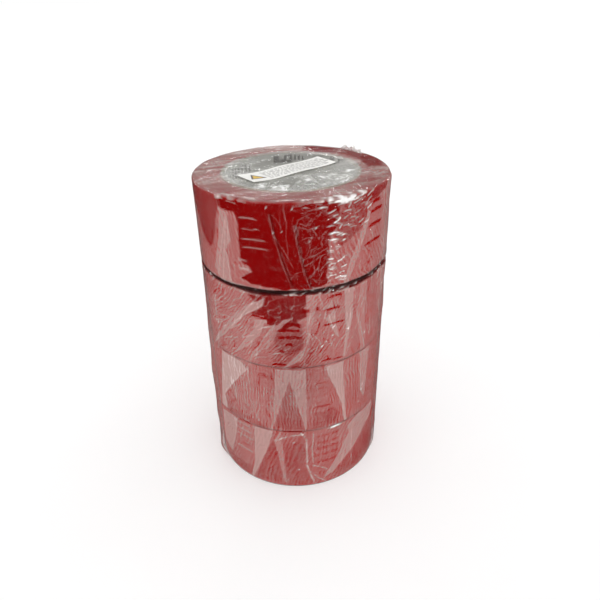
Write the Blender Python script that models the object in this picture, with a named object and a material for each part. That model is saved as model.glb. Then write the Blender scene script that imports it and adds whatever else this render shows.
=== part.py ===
"""A shrink-wrapped stack of four rolls of adhesive tape on 3-inch paperboard cores.

Metres, +Z up. The origin is on the floor under the middle of the stack, and +Z is the axis of the cores.
Roll 1 is at the top and roll 4 at the bottom. Pieces that touch on the real pack stand GAP apart.
"""

import math

import bmesh
import bpy

# ---- Driving dimensions ----------------------------------------------------------------------
ROLL_COUNT = 4
TAPE_WIDTH = 0.050
TAPE_OUTER_R = 0.0572
CORE_BORE_R = 0.0381
LINER_WALL = 0.0004
PLY_WALL = 0.0010
GAP = 0.0003
TOP_ROLL_GAP = 0.0019

FILM_WALL = 0.0003
SEAL_WIDTH = 0.0030
SEAL_WALL = 0.0004
SEAL_AZIMUTH = math.radians(40)

TAPE_END_LENGTH = math.radians(50)
TAPE_END_RECESS = 0.0006
TAPE_END_WALL = 0.0003
TAPE_END_STEP = math.radians(0.4)
TAPE_END_AZIMUTHS = (math.radians(95), math.radians(150), math.radians(120), math.radians(70))

LABEL_LENGTH = 0.060
LABEL_WIDTH = 0.0175
LABEL_WALL = 0.00025
LABEL_CENTRE = (-0.0016, -0.0009)
LABEL_YAW = math.radians(37)
LABEL_WAVE = 0.0005
LABEL_WAVE_LENGTH = 0.042

EAR_HEIGHT = 0.0042
EAR_SWEEP = math.radians(22)
EAR_RADIUS = 0.0536
EAR_FOLD = 0.0016
EAR_FOLDS = 5
EAR_WALL = 0.0005

TAPE_SIDES = 64
CORE_SIDES = 48

# ---- Radii and levels worked out from them ---------------------------------------------------
LINER_R = (CORE_BORE_R, CORE_BORE_R + LINER_WALL)
INNER_PLY_R = (LINER_R[1] + GAP, LINER_R[1] + GAP + PLY_WALL)
OUTER_PLY_R = (INNER_PLY_R[1] + GAP, INNER_PLY_R[1] + GAP + PLY_WALL)
TAPE_INNER_R = OUTER_PLY_R[1] + GAP
SLEEVE_R = (TAPE_OUTER_R + GAP, TAPE_OUTER_R + GAP + FILM_WALL)
SEAL_R = (SLEEVE_R[1] + GAP, SLEEVE_R[1] + GAP + SEAL_WALL)

FLOOR_FILM_TOP = FILM_WALL
LOWEST_ROLL_BOTTOM = FLOOR_FILM_TOP + GAP


def roll_bottom(number):
    """Height of the lower face of roll 1 (top) to roll 4 (bottom)."""
    rolls_below = ROLL_COUNT - number
    height = LOWEST_ROLL_BOTTOM + rolls_below * (TAPE_WIDTH + GAP)
    if number == 1:
        height += TOP_ROLL_GAP - GAP
    return height


STACK_TOP = roll_bottom(1) + TAPE_WIDTH
TOP_FILM_BOTTOM = STACK_TOP + GAP
TOP_FILM_TOP = TOP_FILM_BOTTOM + FILM_WALL


# ---- Materials -------------------------------------------------------------------------------
def make_material(name, colour, roughness, alpha=1.0):
    material = bpy.data.materials.new(name)
    material.use_nodes = True
    shader = material.node_tree.nodes["Principled BSDF"]
    shader.inputs["Base Color"].default_value = (*colour, 1.0)
    shader.inputs["Roughness"].default_value = roughness
    shader.inputs["Metallic"].default_value = 0.0
    shader.inputs["Alpha"].default_value = alpha
    return material


RED_VINYL = ((0.26, 0.003, 0.003), 0.25)
WHITE_LINER = ((0.62, 0.60, 0.54), 0.70)
KRAFT_BOARD = ((0.42, 0.33, 0.23), 0.85)
CLEAR_FILM = ((0.80, 0.80, 0.78), 0.15)
LABEL_PAPER = ((0.86, 0.85, 0.81), 0.60)


# ---- Mesh builders ---------------------------------------------------------------------------
def add_object(name, bm, look, height=0.0, alpha=1.0, smooth=True):
    """Closes the bmesh into a named object with its own material, lifted to a height."""
    bmesh.ops.recalc_face_normals(bm, faces=bm.faces)
    mesh = bpy.data.meshes.new(name)
    bm.to_mesh(mesh)
    bm.free()
    if smooth:
        mesh.shade_smooth()
        mesh.set_sharp_from_angle(angle=math.radians(35))
    colour, roughness = look
    mesh.materials.append(make_material(name, colour, roughness, alpha))
    obj = bpy.data.objects.new(name, mesh)
    obj.location.z = height
    bpy.context.scene.collection.objects.link(obj)
    return obj


def turned_ring(radii, height, sides):
    """A tube: a rectangle between two radii, spun once round +Z."""
    inner, outer = radii
    bm = bmesh.new()
    outline = ((inner, 0), (outer, 0), (outer, height), (inner, height))
    corners = [bm.verts.new((r, 0, z)) for r, z in outline]
    edges = [bm.edges.new((corners[i], corners[(i + 1) % 4])) for i in range(4)]
    bmesh.ops.spin(
        bm, geom=corners + edges, axis=(0, 0, 1), cent=(0, 0, 0),
        steps=sides, angle=math.tau, use_merge=True,
    )
    return bm


def swept_wall(stations, height, closed):
    """A wall that follows (angle, inner radius, outer radius) stations round +Z."""
    bm = bmesh.new()
    loops = []
    for angle, inner, outer in stations:
        x, y = math.cos(angle), math.sin(angle)
        outline = ((inner, 0), (outer, 0), (outer, height), (inner, height))
        loops.append([bm.verts.new((r * x, r * y, z)) for r, z in outline])
    last = len(loops) if closed else len(loops) - 1
    for i in range(last):
        here, there = loops[i], loops[(i + 1) % len(loops)]
        for k in range(4):
            bm.faces.new((here[k], here[(k + 1) % 4], there[(k + 1) % 4], there[k]))
    if not closed:
        bm.faces.new(loops[0])
        bm.faces.new(loops[-1])
    return bm


def disc(radius, thickness, sides):
    bm = bmesh.new()
    bmesh.ops.create_circle(bm, cap_ends=True, segments=sides, radius=radius)
    grown = bmesh.ops.extrude_face_region(bm, geom=bm.faces[:])
    top = [v for v in grown["geom"] if isinstance(v, bmesh.types.BMVert)]
    bmesh.ops.translate(bm, vec=(0, 0, thickness), verts=top)
    return bm


def folded_strip(points, width_axis, width, thickness_axis, thickness):
    """A closed strip along a line of points, with a width and a thickness along fixed axes."""
    bm = bmesh.new()
    loops = []
    for x, y, z in points:
        loop = []
        for side, face in ((-0.5, 0), (0.5, 0), (0.5, 1), (-0.5, 1)):
            loop.append(bm.verts.new((
                x + width_axis[0] * width * side + thickness_axis[0] * thickness * face,
                y + width_axis[1] * width * side + thickness_axis[1] * thickness * face,
                z + width_axis[2] * width * side + thickness_axis[2] * thickness * face,
            )))
        loops.append(loop)
    for here, there in zip(loops, loops[1:]):
        for k in range(4):
            bm.faces.new((here[k], here[(k + 1) % 4], there[(k + 1) % 4], there[k]))
    bm.faces.new(loops[0])
    bm.faces.new(loops[-1])
    return bm


# ---- The rolls -------------------------------------------------------------------------------
def winding_stations(end_azimuth):
    """The wound tape, with a shallow recess where the last lap of tape lies."""
    start = end_azimuth
    finish = end_azimuth + TAPE_END_LENGTH
    recessed = TAPE_OUTER_R - TAPE_END_RECESS
    stations = [
        (start, TAPE_INNER_R, TAPE_OUTER_R),
        (start + TAPE_END_STEP, TAPE_INNER_R, recessed),
    ]
    step = math.tau / TAPE_SIDES
    inner_count = int(TAPE_END_LENGTH / step)
    for i in range(1, inner_count):
        stations.append((start + i * TAPE_END_LENGTH / inner_count, TAPE_INNER_R, recessed))
    stations.append((finish - TAPE_END_STEP, TAPE_INNER_R, recessed))
    stations.append((finish, TAPE_INNER_R, TAPE_OUTER_R))
    outer_count = round((math.tau - TAPE_END_LENGTH) / step)
    for i in range(1, outer_count):
        angle = finish + i * (math.tau - TAPE_END_LENGTH) / outer_count
        stations.append((angle, TAPE_INNER_R, TAPE_OUTER_R))
    return stations


def tape_end_stations(end_azimuth):
    """The free end of the tape: a thin arc that fills the recess and stops short of its far side."""
    inner = TAPE_OUTER_R - TAPE_END_WALL
    near = end_azimuth + TAPE_END_STEP + GAP / inner
    far = end_azimuth + TAPE_END_LENGTH - TAPE_END_STEP - 8 * GAP / inner
    count = 9
    return [(near + (far - near) * i / count, inner, TAPE_OUTER_R) for i in range(count + 1)]


def build_roll(number):
    bottom = roll_bottom(number)
    name = f"roll_{number}"
    end_azimuth = TAPE_END_AZIMUTHS[number - 1]
    add_object(f"{name}_core_liner", turned_ring(LINER_R, TAPE_WIDTH, CORE_SIDES), WHITE_LINER, bottom)
    add_object(f"{name}_core_inner_ply", turned_ring(INNER_PLY_R, TAPE_WIDTH, CORE_SIDES), KRAFT_BOARD, bottom)
    add_object(f"{name}_core_outer_ply", turned_ring(OUTER_PLY_R, TAPE_WIDTH, CORE_SIDES), KRAFT_BOARD, bottom)
    winding = swept_wall(winding_stations(end_azimuth), TAPE_WIDTH, closed=True)
    add_object(f"{name}_tape_winding", winding, RED_VINYL, bottom)
    tape_end = swept_wall(tape_end_stations(end_azimuth), TAPE_WIDTH, closed=False)
    add_object(f"{name}_tape_end", tape_end, RED_VINYL, bottom)


# ---- The film and its label ------------------------------------------------------------------
def build_film():
    film_alpha = 0.35
    end_r = SLEEVE_R[1]
    sleeve_bottom = FLOOR_FILM_TOP + GAP
    sleeve_height = STACK_TOP - sleeve_bottom
    add_object("film_bottom_end", disc(end_r, FILM_WALL, TAPE_SIDES), CLEAR_FILM, 0.0, film_alpha)
    sleeve = turned_ring(SLEEVE_R, sleeve_height, TAPE_SIDES)
    add_object("film_sleeve", sleeve, CLEAR_FILM, sleeve_bottom, film_alpha)
    add_object("film_top_end", disc(end_r, FILM_WALL, TAPE_SIDES), CLEAR_FILM, TOP_FILM_BOTTOM, film_alpha)
    build_seal(sleeve_bottom, sleeve_height, film_alpha)
    build_ear(film_alpha)


def build_seal(bottom, height, alpha):
    """The welded seam of the film, a narrow bead down the back of the pack."""
    half = 0.5 * SEAL_WIDTH / SEAL_R[1]
    stations = [(SEAL_AZIMUTH + side * half, *SEAL_R) for side in (-1, -0.33, 0.33, 1)]
    add_object("film_seal", swept_wall(stations, height, closed=False), CLEAR_FILM, bottom, alpha)


def build_ear(alpha):
    """The crumpled corner of film that stands up on the rim above the seam."""
    count = 2 * EAR_FOLDS
    points = []
    for i in range(count + 1):
        angle = SEAL_AZIMUTH + EAR_SWEEP * (i / count - 0.5)
        r = EAR_RADIUS + (EAR_FOLD if i % 2 else 0.0)
        points.append((r * math.cos(angle), r * math.sin(angle), TOP_FILM_TOP + GAP + EAR_HEIGHT / 2))
    outward = (math.cos(SEAL_AZIMUTH), math.sin(SEAL_AZIMUTH), 0)
    ear = folded_strip(points, (0, 0, 1), EAR_HEIGHT, outward, EAR_WALL)
    add_object("film_ear", ear, CLEAR_FILM, 0.0, alpha, smooth=False)


def build_label():
    """The paper label on the film across the core's mouth, lying in one gentle wave."""
    count = 16
    along = (math.cos(LABEL_YAW), math.sin(LABEL_YAW), 0)
    across = (-along[1], along[0], 0)
    points = []
    for i in range(count + 1):
        s = LABEL_LENGTH * (i / count - 0.5)
        lift = LABEL_WAVE * (1 + math.sin(math.tau * s / LABEL_WAVE_LENGTH))
        points.append((LABEL_CENTRE[0] + along[0] * s, LABEL_CENTRE[1] + along[1] * s, lift))
    label = folded_strip(points, across, LABEL_WIDTH, (0, 0, 1), LABEL_WALL)
    add_object("film_label", label, LABEL_PAPER, TOP_FILM_TOP + GAP)


def main():
    for obj in list(bpy.data.objects):
        bpy.data.objects.remove(obj)
    for number in range(1, ROLL_COUNT + 1):
        build_roll(number)
    build_film()
    build_label()


main()
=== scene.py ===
"""Looks of the shrink-wrapped stack of four red tape rolls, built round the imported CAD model.

Places on the film's side are given by azimuth (degrees, 0 at the front, positive to the right) and height
(mm). Places on its top are given in mm from the stack's axis, +x right and +y back.
"""

import math
import random

import bpy
import numpy as np
from mathutils import Matrix, Vector


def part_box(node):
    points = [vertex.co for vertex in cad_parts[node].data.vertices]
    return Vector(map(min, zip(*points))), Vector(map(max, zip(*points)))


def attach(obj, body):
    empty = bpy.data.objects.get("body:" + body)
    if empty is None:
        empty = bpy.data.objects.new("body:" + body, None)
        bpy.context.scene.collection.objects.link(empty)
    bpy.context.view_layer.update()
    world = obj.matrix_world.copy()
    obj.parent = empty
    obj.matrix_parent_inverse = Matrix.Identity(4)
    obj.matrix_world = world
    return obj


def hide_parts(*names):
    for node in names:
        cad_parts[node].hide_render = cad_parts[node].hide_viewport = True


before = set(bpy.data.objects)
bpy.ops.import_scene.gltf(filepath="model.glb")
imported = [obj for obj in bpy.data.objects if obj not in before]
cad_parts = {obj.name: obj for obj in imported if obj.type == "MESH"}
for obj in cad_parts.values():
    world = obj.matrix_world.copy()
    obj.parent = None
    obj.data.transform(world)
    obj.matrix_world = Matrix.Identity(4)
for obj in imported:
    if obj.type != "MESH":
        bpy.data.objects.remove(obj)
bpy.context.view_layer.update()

MM = 0.001

# ---- Sizes read from the frame, in mm --------------------------------------------------------
ROLLS = (1, 2, 3, 4)
SLEEVE_INSET = 0.2
LINER_THICKNESS = 0.4
END_INSET = 0.1


def box_mm(node):
    low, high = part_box(node)
    return np.array(low) / MM, np.array(high) / MM


def radius_mm(node):
    return box_mm(node)[1][0]


TAPE_R = radius_mm("roll_1_tape_winding")
FILM_R = radius_mm("film_sleeve") - SLEEVE_INSET
LINER_OUTER_R = radius_mm("roll_1_core_liner")
INNER_PLY_R = radius_mm("roll_1_core_inner_ply")
OUTER_PLY_R = radius_mm("roll_1_core_outer_ply")
BORE_R = LINER_OUTER_R - LINER_THICKNESS
ROLL_Z = {n: [corner[2] for corner in box_mm(f"roll_{n}_tape_winding")] for n in ROLLS}
TOP_Z = box_mm("film_top_end")[1][2] - END_INSET
BOTTOM_Z = END_INSET
GROOVES = [0.5 * (ROLL_Z[n][0] + ROLL_Z[n + 1][1]) for n in (1, 2, 3)]

# ---- Film grid -------------------------------------------------------------------------------
FRONT_COLUMNS = 460
BACK_COLUMNS = 280
FRONT_HALF = 78.0
BAND_ROWS = 132
RIM_R = 1.2
RIM_ROWS = 7
ANNULUS_ROWS = 44
MOUTH_ROWS = 18
BOTTOM_ROWS = 30
SIDE_LOW = BOTTOM_Z + RIM_R
SIDE_HIGH = TOP_Z - RIM_R
FLAT_R = FILM_R - RIM_R


# ---- Small numeric helpers -------------------------------------------------------------------
def unit(x):
    return np.clip(x, 0, 1)


def smooth(x, low, high):
    """Rises smoothly from 0 at low to 1 at high."""
    t = unit((x - low) / (high - low))
    return t * t * (3 - 2 * t)


def bump(x, centre, width):
    return np.exp(-(((x - centre) / width) ** 2))


def between(x, low, high, before, after):
    """1 from low to high. Each end is spread from before mm outside it to after mm inside it."""
    return smooth(x, low - before, low + after) * smooth(-x, -high - before, -high + after)


def round_mm(azimuth):
    """Degrees of azimuth as mm round the film."""
    return np.radians(azimuth) * FILM_R


def on_side(points):
    """(azimuth, height) points as (mm round the film, height) points."""
    return [(round_mm(azimuth), height) for azimuth, height in points]


def round_points(r, azimuth, z):
    """Points in mm from their distance to the axis, azimuth and height."""
    a = np.radians(azimuth)
    return np.stack(np.broadcast_arrays(r * np.sin(a), -r * np.cos(a), z), -1)


def lattice_gradients(cell, seed):
    """A fixed pseudo-random direction for each lattice cell, as three numbers from -1 to 1."""
    x, y, z = (cell[..., i].astype(np.uint64) for i in range(3))
    mixed = (x * np.uint64(374761393) + y * np.uint64(668265263) + z * np.uint64(2246822519)
             + np.uint64(seed * 3266489917))
    parts = []
    for _ in range(3):
        mixed = (mixed ^ (mixed >> np.uint64(15))) * np.uint64(2654435761) & np.uint64(0xFFFFFFFF)
        parts.append(mixed.astype(float) / 2147483647.5 - 1)
    return np.stack(parts, -1)


def wobble(points, size, seed, stretch=(1, 1, 1)):
    """Smooth noise from about -1 to 1 at (..., 3) points, with features about size mm apart."""
    scaled = points * (np.array(stretch) / size) + 4096.37
    cell = np.floor(scaled)
    part = scaled - cell
    fade = part ** 3 * (part * (part * 6 - 15) + 10)
    total = np.zeros(points.shape[:-1])
    for corner in np.ndindex(2, 2, 2):
        corner = np.array(corner)
        gradient = lattice_gradients(cell + corner, seed)
        weight = np.prod(np.where(corner == 1, fade, 1 - fade), -1)
        total += weight * np.sum(gradient * (part - corner), -1)
    return total * 1.5


def patches(points, middle, contrast, size, seed, stretch=(1, 1, 1)):
    """Noise as broken patches from 0 to 1."""
    return unit(middle + contrast * wobble(points, size, seed, stretch))


def ridges(points, size, seed, stretch=(1, 1, 1)):
    """Thin crests (1) between broad valleys (0)."""
    return unit(1 - 2.2 * np.abs(wobble(points, size, seed, stretch))) ** 3


def segment_distance(u, v, a, b):
    ax, ay = a
    dx, dy = b[0] - ax, b[1] - ay
    t = np.clip(((u - ax) * dx + (v - ay) * dy) / max(dx * dx + dy * dy, 1e-9), 0, 1)
    return np.hypot(u - ax - t * dx, v - ay - t * dy)


def inside_outline(u, v, outline, soft):
    """1 inside a closed outline and 0 outside it, with an edge soft mm wide."""
    nearest = np.full(u.shape, 1e9)
    inside = np.zeros(u.shape, bool)
    for a, b in zip(outline, outline[1:] + outline[:1]):
        nearest = np.minimum(nearest, segment_distance(u, v, a, b))
        crosses = (a[1] > v) != (b[1] > v)
        rise = b[1] - a[1] if b[1] != a[1] else 1e-9
        inside ^= crosses & (u < (b[0] - a[0]) * (v - a[1]) / rise + a[0])
    return smooth(np.where(inside, nearest, -nearest), -soft, soft)


def near_line(u, v, line, width):
    """1 on a line of points, fading to 0 over about width mm each side."""
    nearest = np.full(u.shape, 1e9)
    for a, b in zip(line, line[1:]):
        nearest = np.minimum(nearest, segment_distance(u, v, a, b))
    return np.exp(-((nearest / width) ** 2))


def strongest(outlines, u, v, soft):
    """The greatest strength among the (strength, outline) pairs that hold each point."""
    most = np.zeros(u.shape)
    for strength, outline in outlines:
        most = np.maximum(most, strength * inside_outline(u, v, outline, soft))
    return most


# ---- Layout of the film's side, seen from the front ------------------------------------------
# Pleats: doubled, milky film. (milkiness, outline)
PLEATS = [
    (0.36, [(-41, 196), (-36, 195), (-35, 180), (-39, 173), (-36, 162), (-34, 153), (-46, 153),
            (-50, 160), (-44, 179)]),
    (0.20, [(-36, 195), (-30.5, 193), (-30.5, 154), (-36, 154), (-38, 170), (-35, 180)]),
    (0.20, [(-34, 166), (-30, 165), (-22.5, 163.5), (-27, 161), (-31, 158), (-24, 155.5), (-10, 154),
            (-34, 153.5)]),
    (0.34, [(45, 192), (47, 190), (31, 153), (28, 153), (33, 167)]),
    (0.38, [(-16.5, 148.5), (-18, 143), (-27.5, 136.5), (-35.5, 129), (-47, 115.5), (-61, 102),
            (-58.5, 107.5), (-46.5, 121), (-36.5, 134), (-28, 141.5)]),
    (0.22, [(-31, 151), (-34, 151), (-46, 132), (-44.5, 131)]),
    (0.36, [(-16, 134), (-23, 133), (-25, 125), (-39.5, 105.5), (-29, 114), (-21, 123), (-18, 131)]),
    (0.28, [(-1, 136.5), (-6, 135), (-15, 127), (-21, 116.5), (-29, 103.5), (-24.5, 108), (-16, 119.5),
            (-9, 129)]),
    (0.30, [(6.5, 150), (11, 150), (9.5, 132), (7.5, 118), (-2, 108), (-8, 101.5), (3, 107), (6, 116),
            (7, 126)]),
    (0.34, [(15.5, 140), (21, 145), (22, 140)]),
    (0.36, [(17.5, 134), (22.5, 139), (24, 128), (26, 119), (24, 121), (19.5, 130.5)]),
    (0.38, [(29, 151), (35.5, 151), (35.5, 130), (33.5, 122), (30.5, 104), (29.5, 104), (31, 122),
            (30, 136)]),
    (0.30, [(41.5, 149), (47, 149), (46, 130), (47, 112), (47, 102), (44, 102), (42.5, 112), (38.5, 129)]),
    (0.50, [(-53, 100), (-36, 100), (-30.5, 96), (-40, 84.5), (-50, 71), (-55, 64), (-54, 52), (-60, 51),
            (-57, 76)]),
    (0.34, [(-12.5, 100), (-4.5, 100), (-4.5, 92), (-10, 74.5), (-16.5, 51.5), (-17.8, 51.5), (-15, 62),
            (-14, 76)]),
    (0.34, [(-4.5, 100), (5.4, 100), (5.6, 56), (4.8, 52), (2.8, 62), (-0.5, 78), (-3.6, 91)]),
    (0.44, [(17.5, 100), (29.2, 100), (30.5, 80), (33.2, 51.5), (31.5, 51.5), (29.5, 66), (24, 83),
            (20, 92)]),
    (0.36, [(42.5, 101), (53, 100), (51, 75), (49.5, 62), (45, 71), (44, 86)]),
    (0.42, [(-60, 47), (-50, 49), (-44, 49), (-46, 36), (-50, 22), (-54, 12), (-61, 18)]),
    (0.42, [(-29, 50), (-16.3, 50), (-20, 35), (-24.5, 23), (-33, 1.5), (-34.6, 1.5), (-31, 16),
            (-30, 30)]),
    (0.30, [(-15.2, 42), (-12, 49), (-10.7, 48), (-10.5, 38), (-9.5, 20), (-8.8, 5), (-10, 5), (-12, 22),
            (-14, 34)]),
    (0.38, [(34.5, 46), (44, 50), (62, 49), (62, 41), (50, 32), (42, 24.5), (36, 20), (31, 16), (24, 9),
            (18, 6.5), (16.5, 4), (19, 10), (24, 17), (29, 26), (33, 34), (36.5, 38)]),
]

# Places where the film clings and the red shows clear. (strength, outline)
CLINGS = [
    (1.00, [(-30, 204), (-45, 204), (-43, 197), (-31, 196), (-29, 190), (-29, 168), (-23, 165),
            (-26, 162), (-32, 159), (-24, 156), (-6, 154), (12, 154), (19, 157), (18, 166), (20, 174),
            (19, 180), (24, 190), (27, 204)]),
    (0.80, [(33, 204), (35, 196), (50, 198), (62, 199), (68, 204)]),
    (0.62, [(24, 204), (24, 190), (22, 181), (27, 177), (34, 180), (43, 186), (44, 196), (46, 204)]),
    (0.78, [(-44, 204), (-42, 198), (-45, 190), (-48, 178), (-54, 170), (-62, 178), (-72, 192),
            (-76, 204)]),
    (0.94, [(-28, 149), (-16, 151), (6.5, 151), (9.5, 146), (5, 142), (7.5, 137), (2, 134), (3.5, 129),
            (-2, 131), (-6, 127), (-10, 132), (-14, 130.5), (-18, 136), (-25, 138), (-21, 143)]),
    (0.45, [(-8, 131), (4, 131), (5, 118), (-2, 111), (-9, 112), (-13, 122)]),
    (0.35, [(10.5, 65), (24, 67), (28, 60), (24, 53.5), (9.5, 52)]),
    (0.30, [(-4.3, 90), (-15, 53), (4, 53)]),
    (0.30, [(-26, 56), (-50, 57), (-52, 51.5), (-18, 51.5)]),
    (0.28, [(-33, 12), (-51, 11), (-53, 3), (-36, 2)]),
    (0.28, [(-9, 40), (4, 44), (4.5, 20), (9, 6), (10, 2), (-8, 2)]),
    (0.26, [(-21, 34), (-16, 41), (-13, 30), (-10.5, 4), (-30, 3), (-25, 22)]),
    (0.30, [(33, 16), (40, 20), (52, 30), (62, 36), (60, 8), (44, 4), (24, 5)]),
    # Round the back.
    (0.95, [(104, 204), (100, 186), (106, 170), (112, 158), (122, 154), (149, 154), (152, 170),
            (147, 186), (151, 204)]),
    (0.80, [(-172, 204), (-170, 180), (-160, 166), (-150, 154), (-139, 154), (-143, 172), (-137, 190),
            (-140, 204)]),
    (0.92, [(-176, 151), (-146, 151), (-150, 141), (-158, 133), (-165, 128), (-169, 137)]),
    (0.75, [(98, 151), (126, 151), (121, 141), (112, 134), (103, 140)]),
    (0.60, [(-122, 128), (-108, 124), (-100, 116), (-106, 110), (-119, 115)]),
    (0.45, [(150, 98), (172, 98), (166, 84), (158, 74), (152, 84)]),
    (0.40, [(-136, 70), (-112, 74), (-106, 62), (-116, 53), (-138, 53)]),
    (0.40, [(112, 48), (134, 48), (130, 34), (121, 20), (115, 32)]),
    (0.38, [(-168, 36), (-150, 40), (-140, 26), (-146, 8), (-164, 6)]),
]

# Short level streaks. The brightest ones, on the right of roll 1 and along its rim, are painted glints.
# (change in milkiness, first azimuth, last azimuth, height, half height in mm)
STREAKS = [
    (0.24, -29, -18, 193.5, 0.6), (0.12, -28, -20, 187.5, 0.6), (0.22, -28, -14, 182, 0.6),
    (0.22, -28, -13, 177.2, 0.55), (0.22, -31, -25, 169, 0.8), (0.20, -31, -23, 164, 1.2),
    (0.60, 17.5, 22.5, 188.5, 0.45), (0.80, 18.5, 26, 184.3, 0.6), (0.60, 25, 30, 182.6, 0.5),
    (0.65, 18.5, 25, 180.8, 0.5), (0.35, 18, 22, 173.8, 0.45), (0.35, 17.5, 21.5, 168.3, 0.45),
    (0.40, 20, 24, 163.6, 0.45), (0.65, 24.5, 30, 158, 0.6), (0.45, 5, 8.5, 199.8, 0.45),
    (0.65, 13, 18.5, 199.3, 0.55), (0.60, 24, 31, 199.6, 0.6), (0.50, 27, 33, 195.3, 0.5),
    (0.40, 31, 36, 191, 0.45), (0.35, 30, 34, 187, 0.45), (0.85, 8, 16, 202.7, 0.6),
    (0.95, 18, 34, 202.8, 0.8), (0.30, 38, 44, 197, 0.45), (0.30, -21, -17, 188, 0.4),
    (0.30, 27, 31, 170, 0.45), (0.35, 22, 26, 176.5, 0.45), (-0.40, 47, 57, 195.3, 1.1),
    (-0.42, 47, 60, 190.3, 1.0), (-0.40, 45.5, 60, 182.3, 1.0), (-0.38, 43, 60, 172.3, 0.9),
    (-0.35, -26, -19, 135.3, 0.8), (-0.40, -20, -10, 134.6, 0.9), (-0.45, -7, 3, 131.6, 0.8),
    (-0.45, -11, 2.5, 127.6, 0.8), (-0.42, -10, 4, 122.8, 0.9), (-0.40, -6, -1, 117.8, 0.8),
    (-0.35, -9.5, -6, 113, 0.6), (-0.35, -14, -5, 103.7, 0.8), (-0.30, -3, 3, 101.8, 0.5),
    (-0.35, 4, 9, 139.7, 1.4), (-0.35, 11, 14, 140.5, 1.6), (-0.35, 16.5, 27, 139.2, 0.9),
    (-0.35, 16, 30, 129.1, 0.7), (-0.32, 15, 22, 104.3, 0.7), (-0.25, 22, 29, 103.6, 0.6),
    (-0.28, 20, 28, 147, 1.0), (-0.14, 10, 22, 69.5, 0.9), (-0.08, 11, 20, 84, 0.8),
    (-0.08, 11, 21, 88, 0.8), (-0.10, -23, -17, 93.5, 1.6), (-0.25, 14.5, 17.5, 100.4, 0.6),
    (-0.30, -42, -31, 50.3, 0.8), (-0.22, -10, 4, 50.4, 0.7), (0.14, -46, -30, 36.6, 0.8),
    (0.14, -46, -31, 42, 0.8), (0.14, -47, -32, 47.2, 0.7), (0.14, -47, -31, 25, 0.8),
    (-0.10, -41, -33, 29.5, 1.0),
]
# A ladder of dark dashes on roll 4. (first azimuth, last azimuth), and heights
DASH_COLUMNS = [(12.2, 14.2), (15.2, 20.6), (21.9, 27.5)]
DASH_LEVELS = [44.8, 38.8, 34, 28.2, 21.9]

# Creases: thin folds that stand up. (height in mm, half width in mm, milkiness, line)
CREASES = [
    (0.35, 0.7, 0.10, [(-12, 197), (-10, 186), (-6, 170), (-1.5, 156)]),
    (0.25, 0.5, 0.10, [(-9.5, 185), (-4, 176), (0, 167)]),
    (0.25, 0.5, 0.08, [(-6, 176), (-1, 160)]),
    (0.35, 0.7, 0.08, [(0.5, 191), (2.5, 178), (5, 166), (8.5, 155)]),
    (0.25, 0.5, 0.16, [(10, 189), (13, 184), (15.5, 179)]),
    (0.22, 0.5, 0.14, [(3, 171), (12, 174), (18, 177)]),
    (0.22, 0.5, 0.14, [(6, 168), (13, 172), (17, 174)]),
    (0.22, 0.5, 0.14, [(8, 161), (13, 166), (14.5, 172)]),
    (0.20, 0.5, 0.12, [(10, 160), (12, 158), (14, 160), (16, 164)]),
    (0.20, 0.5, 0.12, [(4, 192), (7, 190.5), (10, 194.5)]),
    (0.20, 0.5, 0.12, [(3, 190), (8, 188.5), (14, 190)]),
    (0.18, 0.5, 0.10, [(3, 182), (7, 184), (14, 183.5)]),
    (0.18, 0.5, 0.10, [(1, 188), (3, 194), (9, 197)]),
    (0.18, 0.5, 0.10, [(6, 172), (8, 176), (10, 185)]),
    (0.30, 1.0, 0.24, [(-15, 42), (-10, 45), (-4, 47.5), (3, 48.5)]),
    (0.34, 1.1, 0.30, [(2, 49.5), (5.3, 44), (5.6, 20), (8, 10.5), (11, 1.5)]),
    (0.30, 0.9, 0.20, [(10, 49), (9, 32), (10, 19)]),
    (0.30, 0.9, 0.20, [(9, 20), (15, 17), (21, 11.5)]),
    (0.30, 0.9, 0.20, [(8, 14), (13, 7), (18, 2.5)]),
    (0.30, 0.8, 0.14, [(38.3, 40), (38.3, 22), (39.5, 10)]),
    (0.25, 0.7, 0.12, [(30.5, 20), (30, 8)]),
    (0.30, 0.9, 0.14, [(-57, 100), (-53, 118), (-56, 140)]),
    (0.30, 0.9, 0.12, [(-37, 192), (-42, 176), (-47, 156)]),
    (0.30, 0.8, 0.12, [(-37, 190), (-40, 174), (-43, 155)]),
    (0.30, 0.7, 0.10, [(-36, 188), (-37, 172), (-38, 155)]),
    (0.25, 0.7, 0.10, [(-35, 180), (-34, 168), (-33, 158)]),
    (0.30, 0.8, 0.12, [(-19, 150), (-27, 140), (-40, 124)]),
    (0.25, 0.6, 0.10, [(-8, 137), (-17, 124), (-25, 108)]),
    (0.25, 0.6, 0.12, [(14, 150), (15, 140), (12, 128)]),
    (0.25, 0.6, 0.12, [(22, 150), (24, 139), (22, 131)]),
    (0.25, 0.6, 0.12, [(36, 150), (38, 134), (43, 118), (47, 103)]),
    (0.25, 0.6, 0.10, [(18, 137), (12, 122), (4, 108)]),
    (0.25, 0.6, 0.10, [(20, 135), (15, 120), (9, 107)]),
    (0.25, 0.6, 0.10, [(21, 131), (18, 118), (13, 106)]),
    (0.30, 0.9, 0.16, [(-48, 150), (-54, 138), (-56, 120)]),
]
DEEP_CREASE = 0.35

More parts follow.
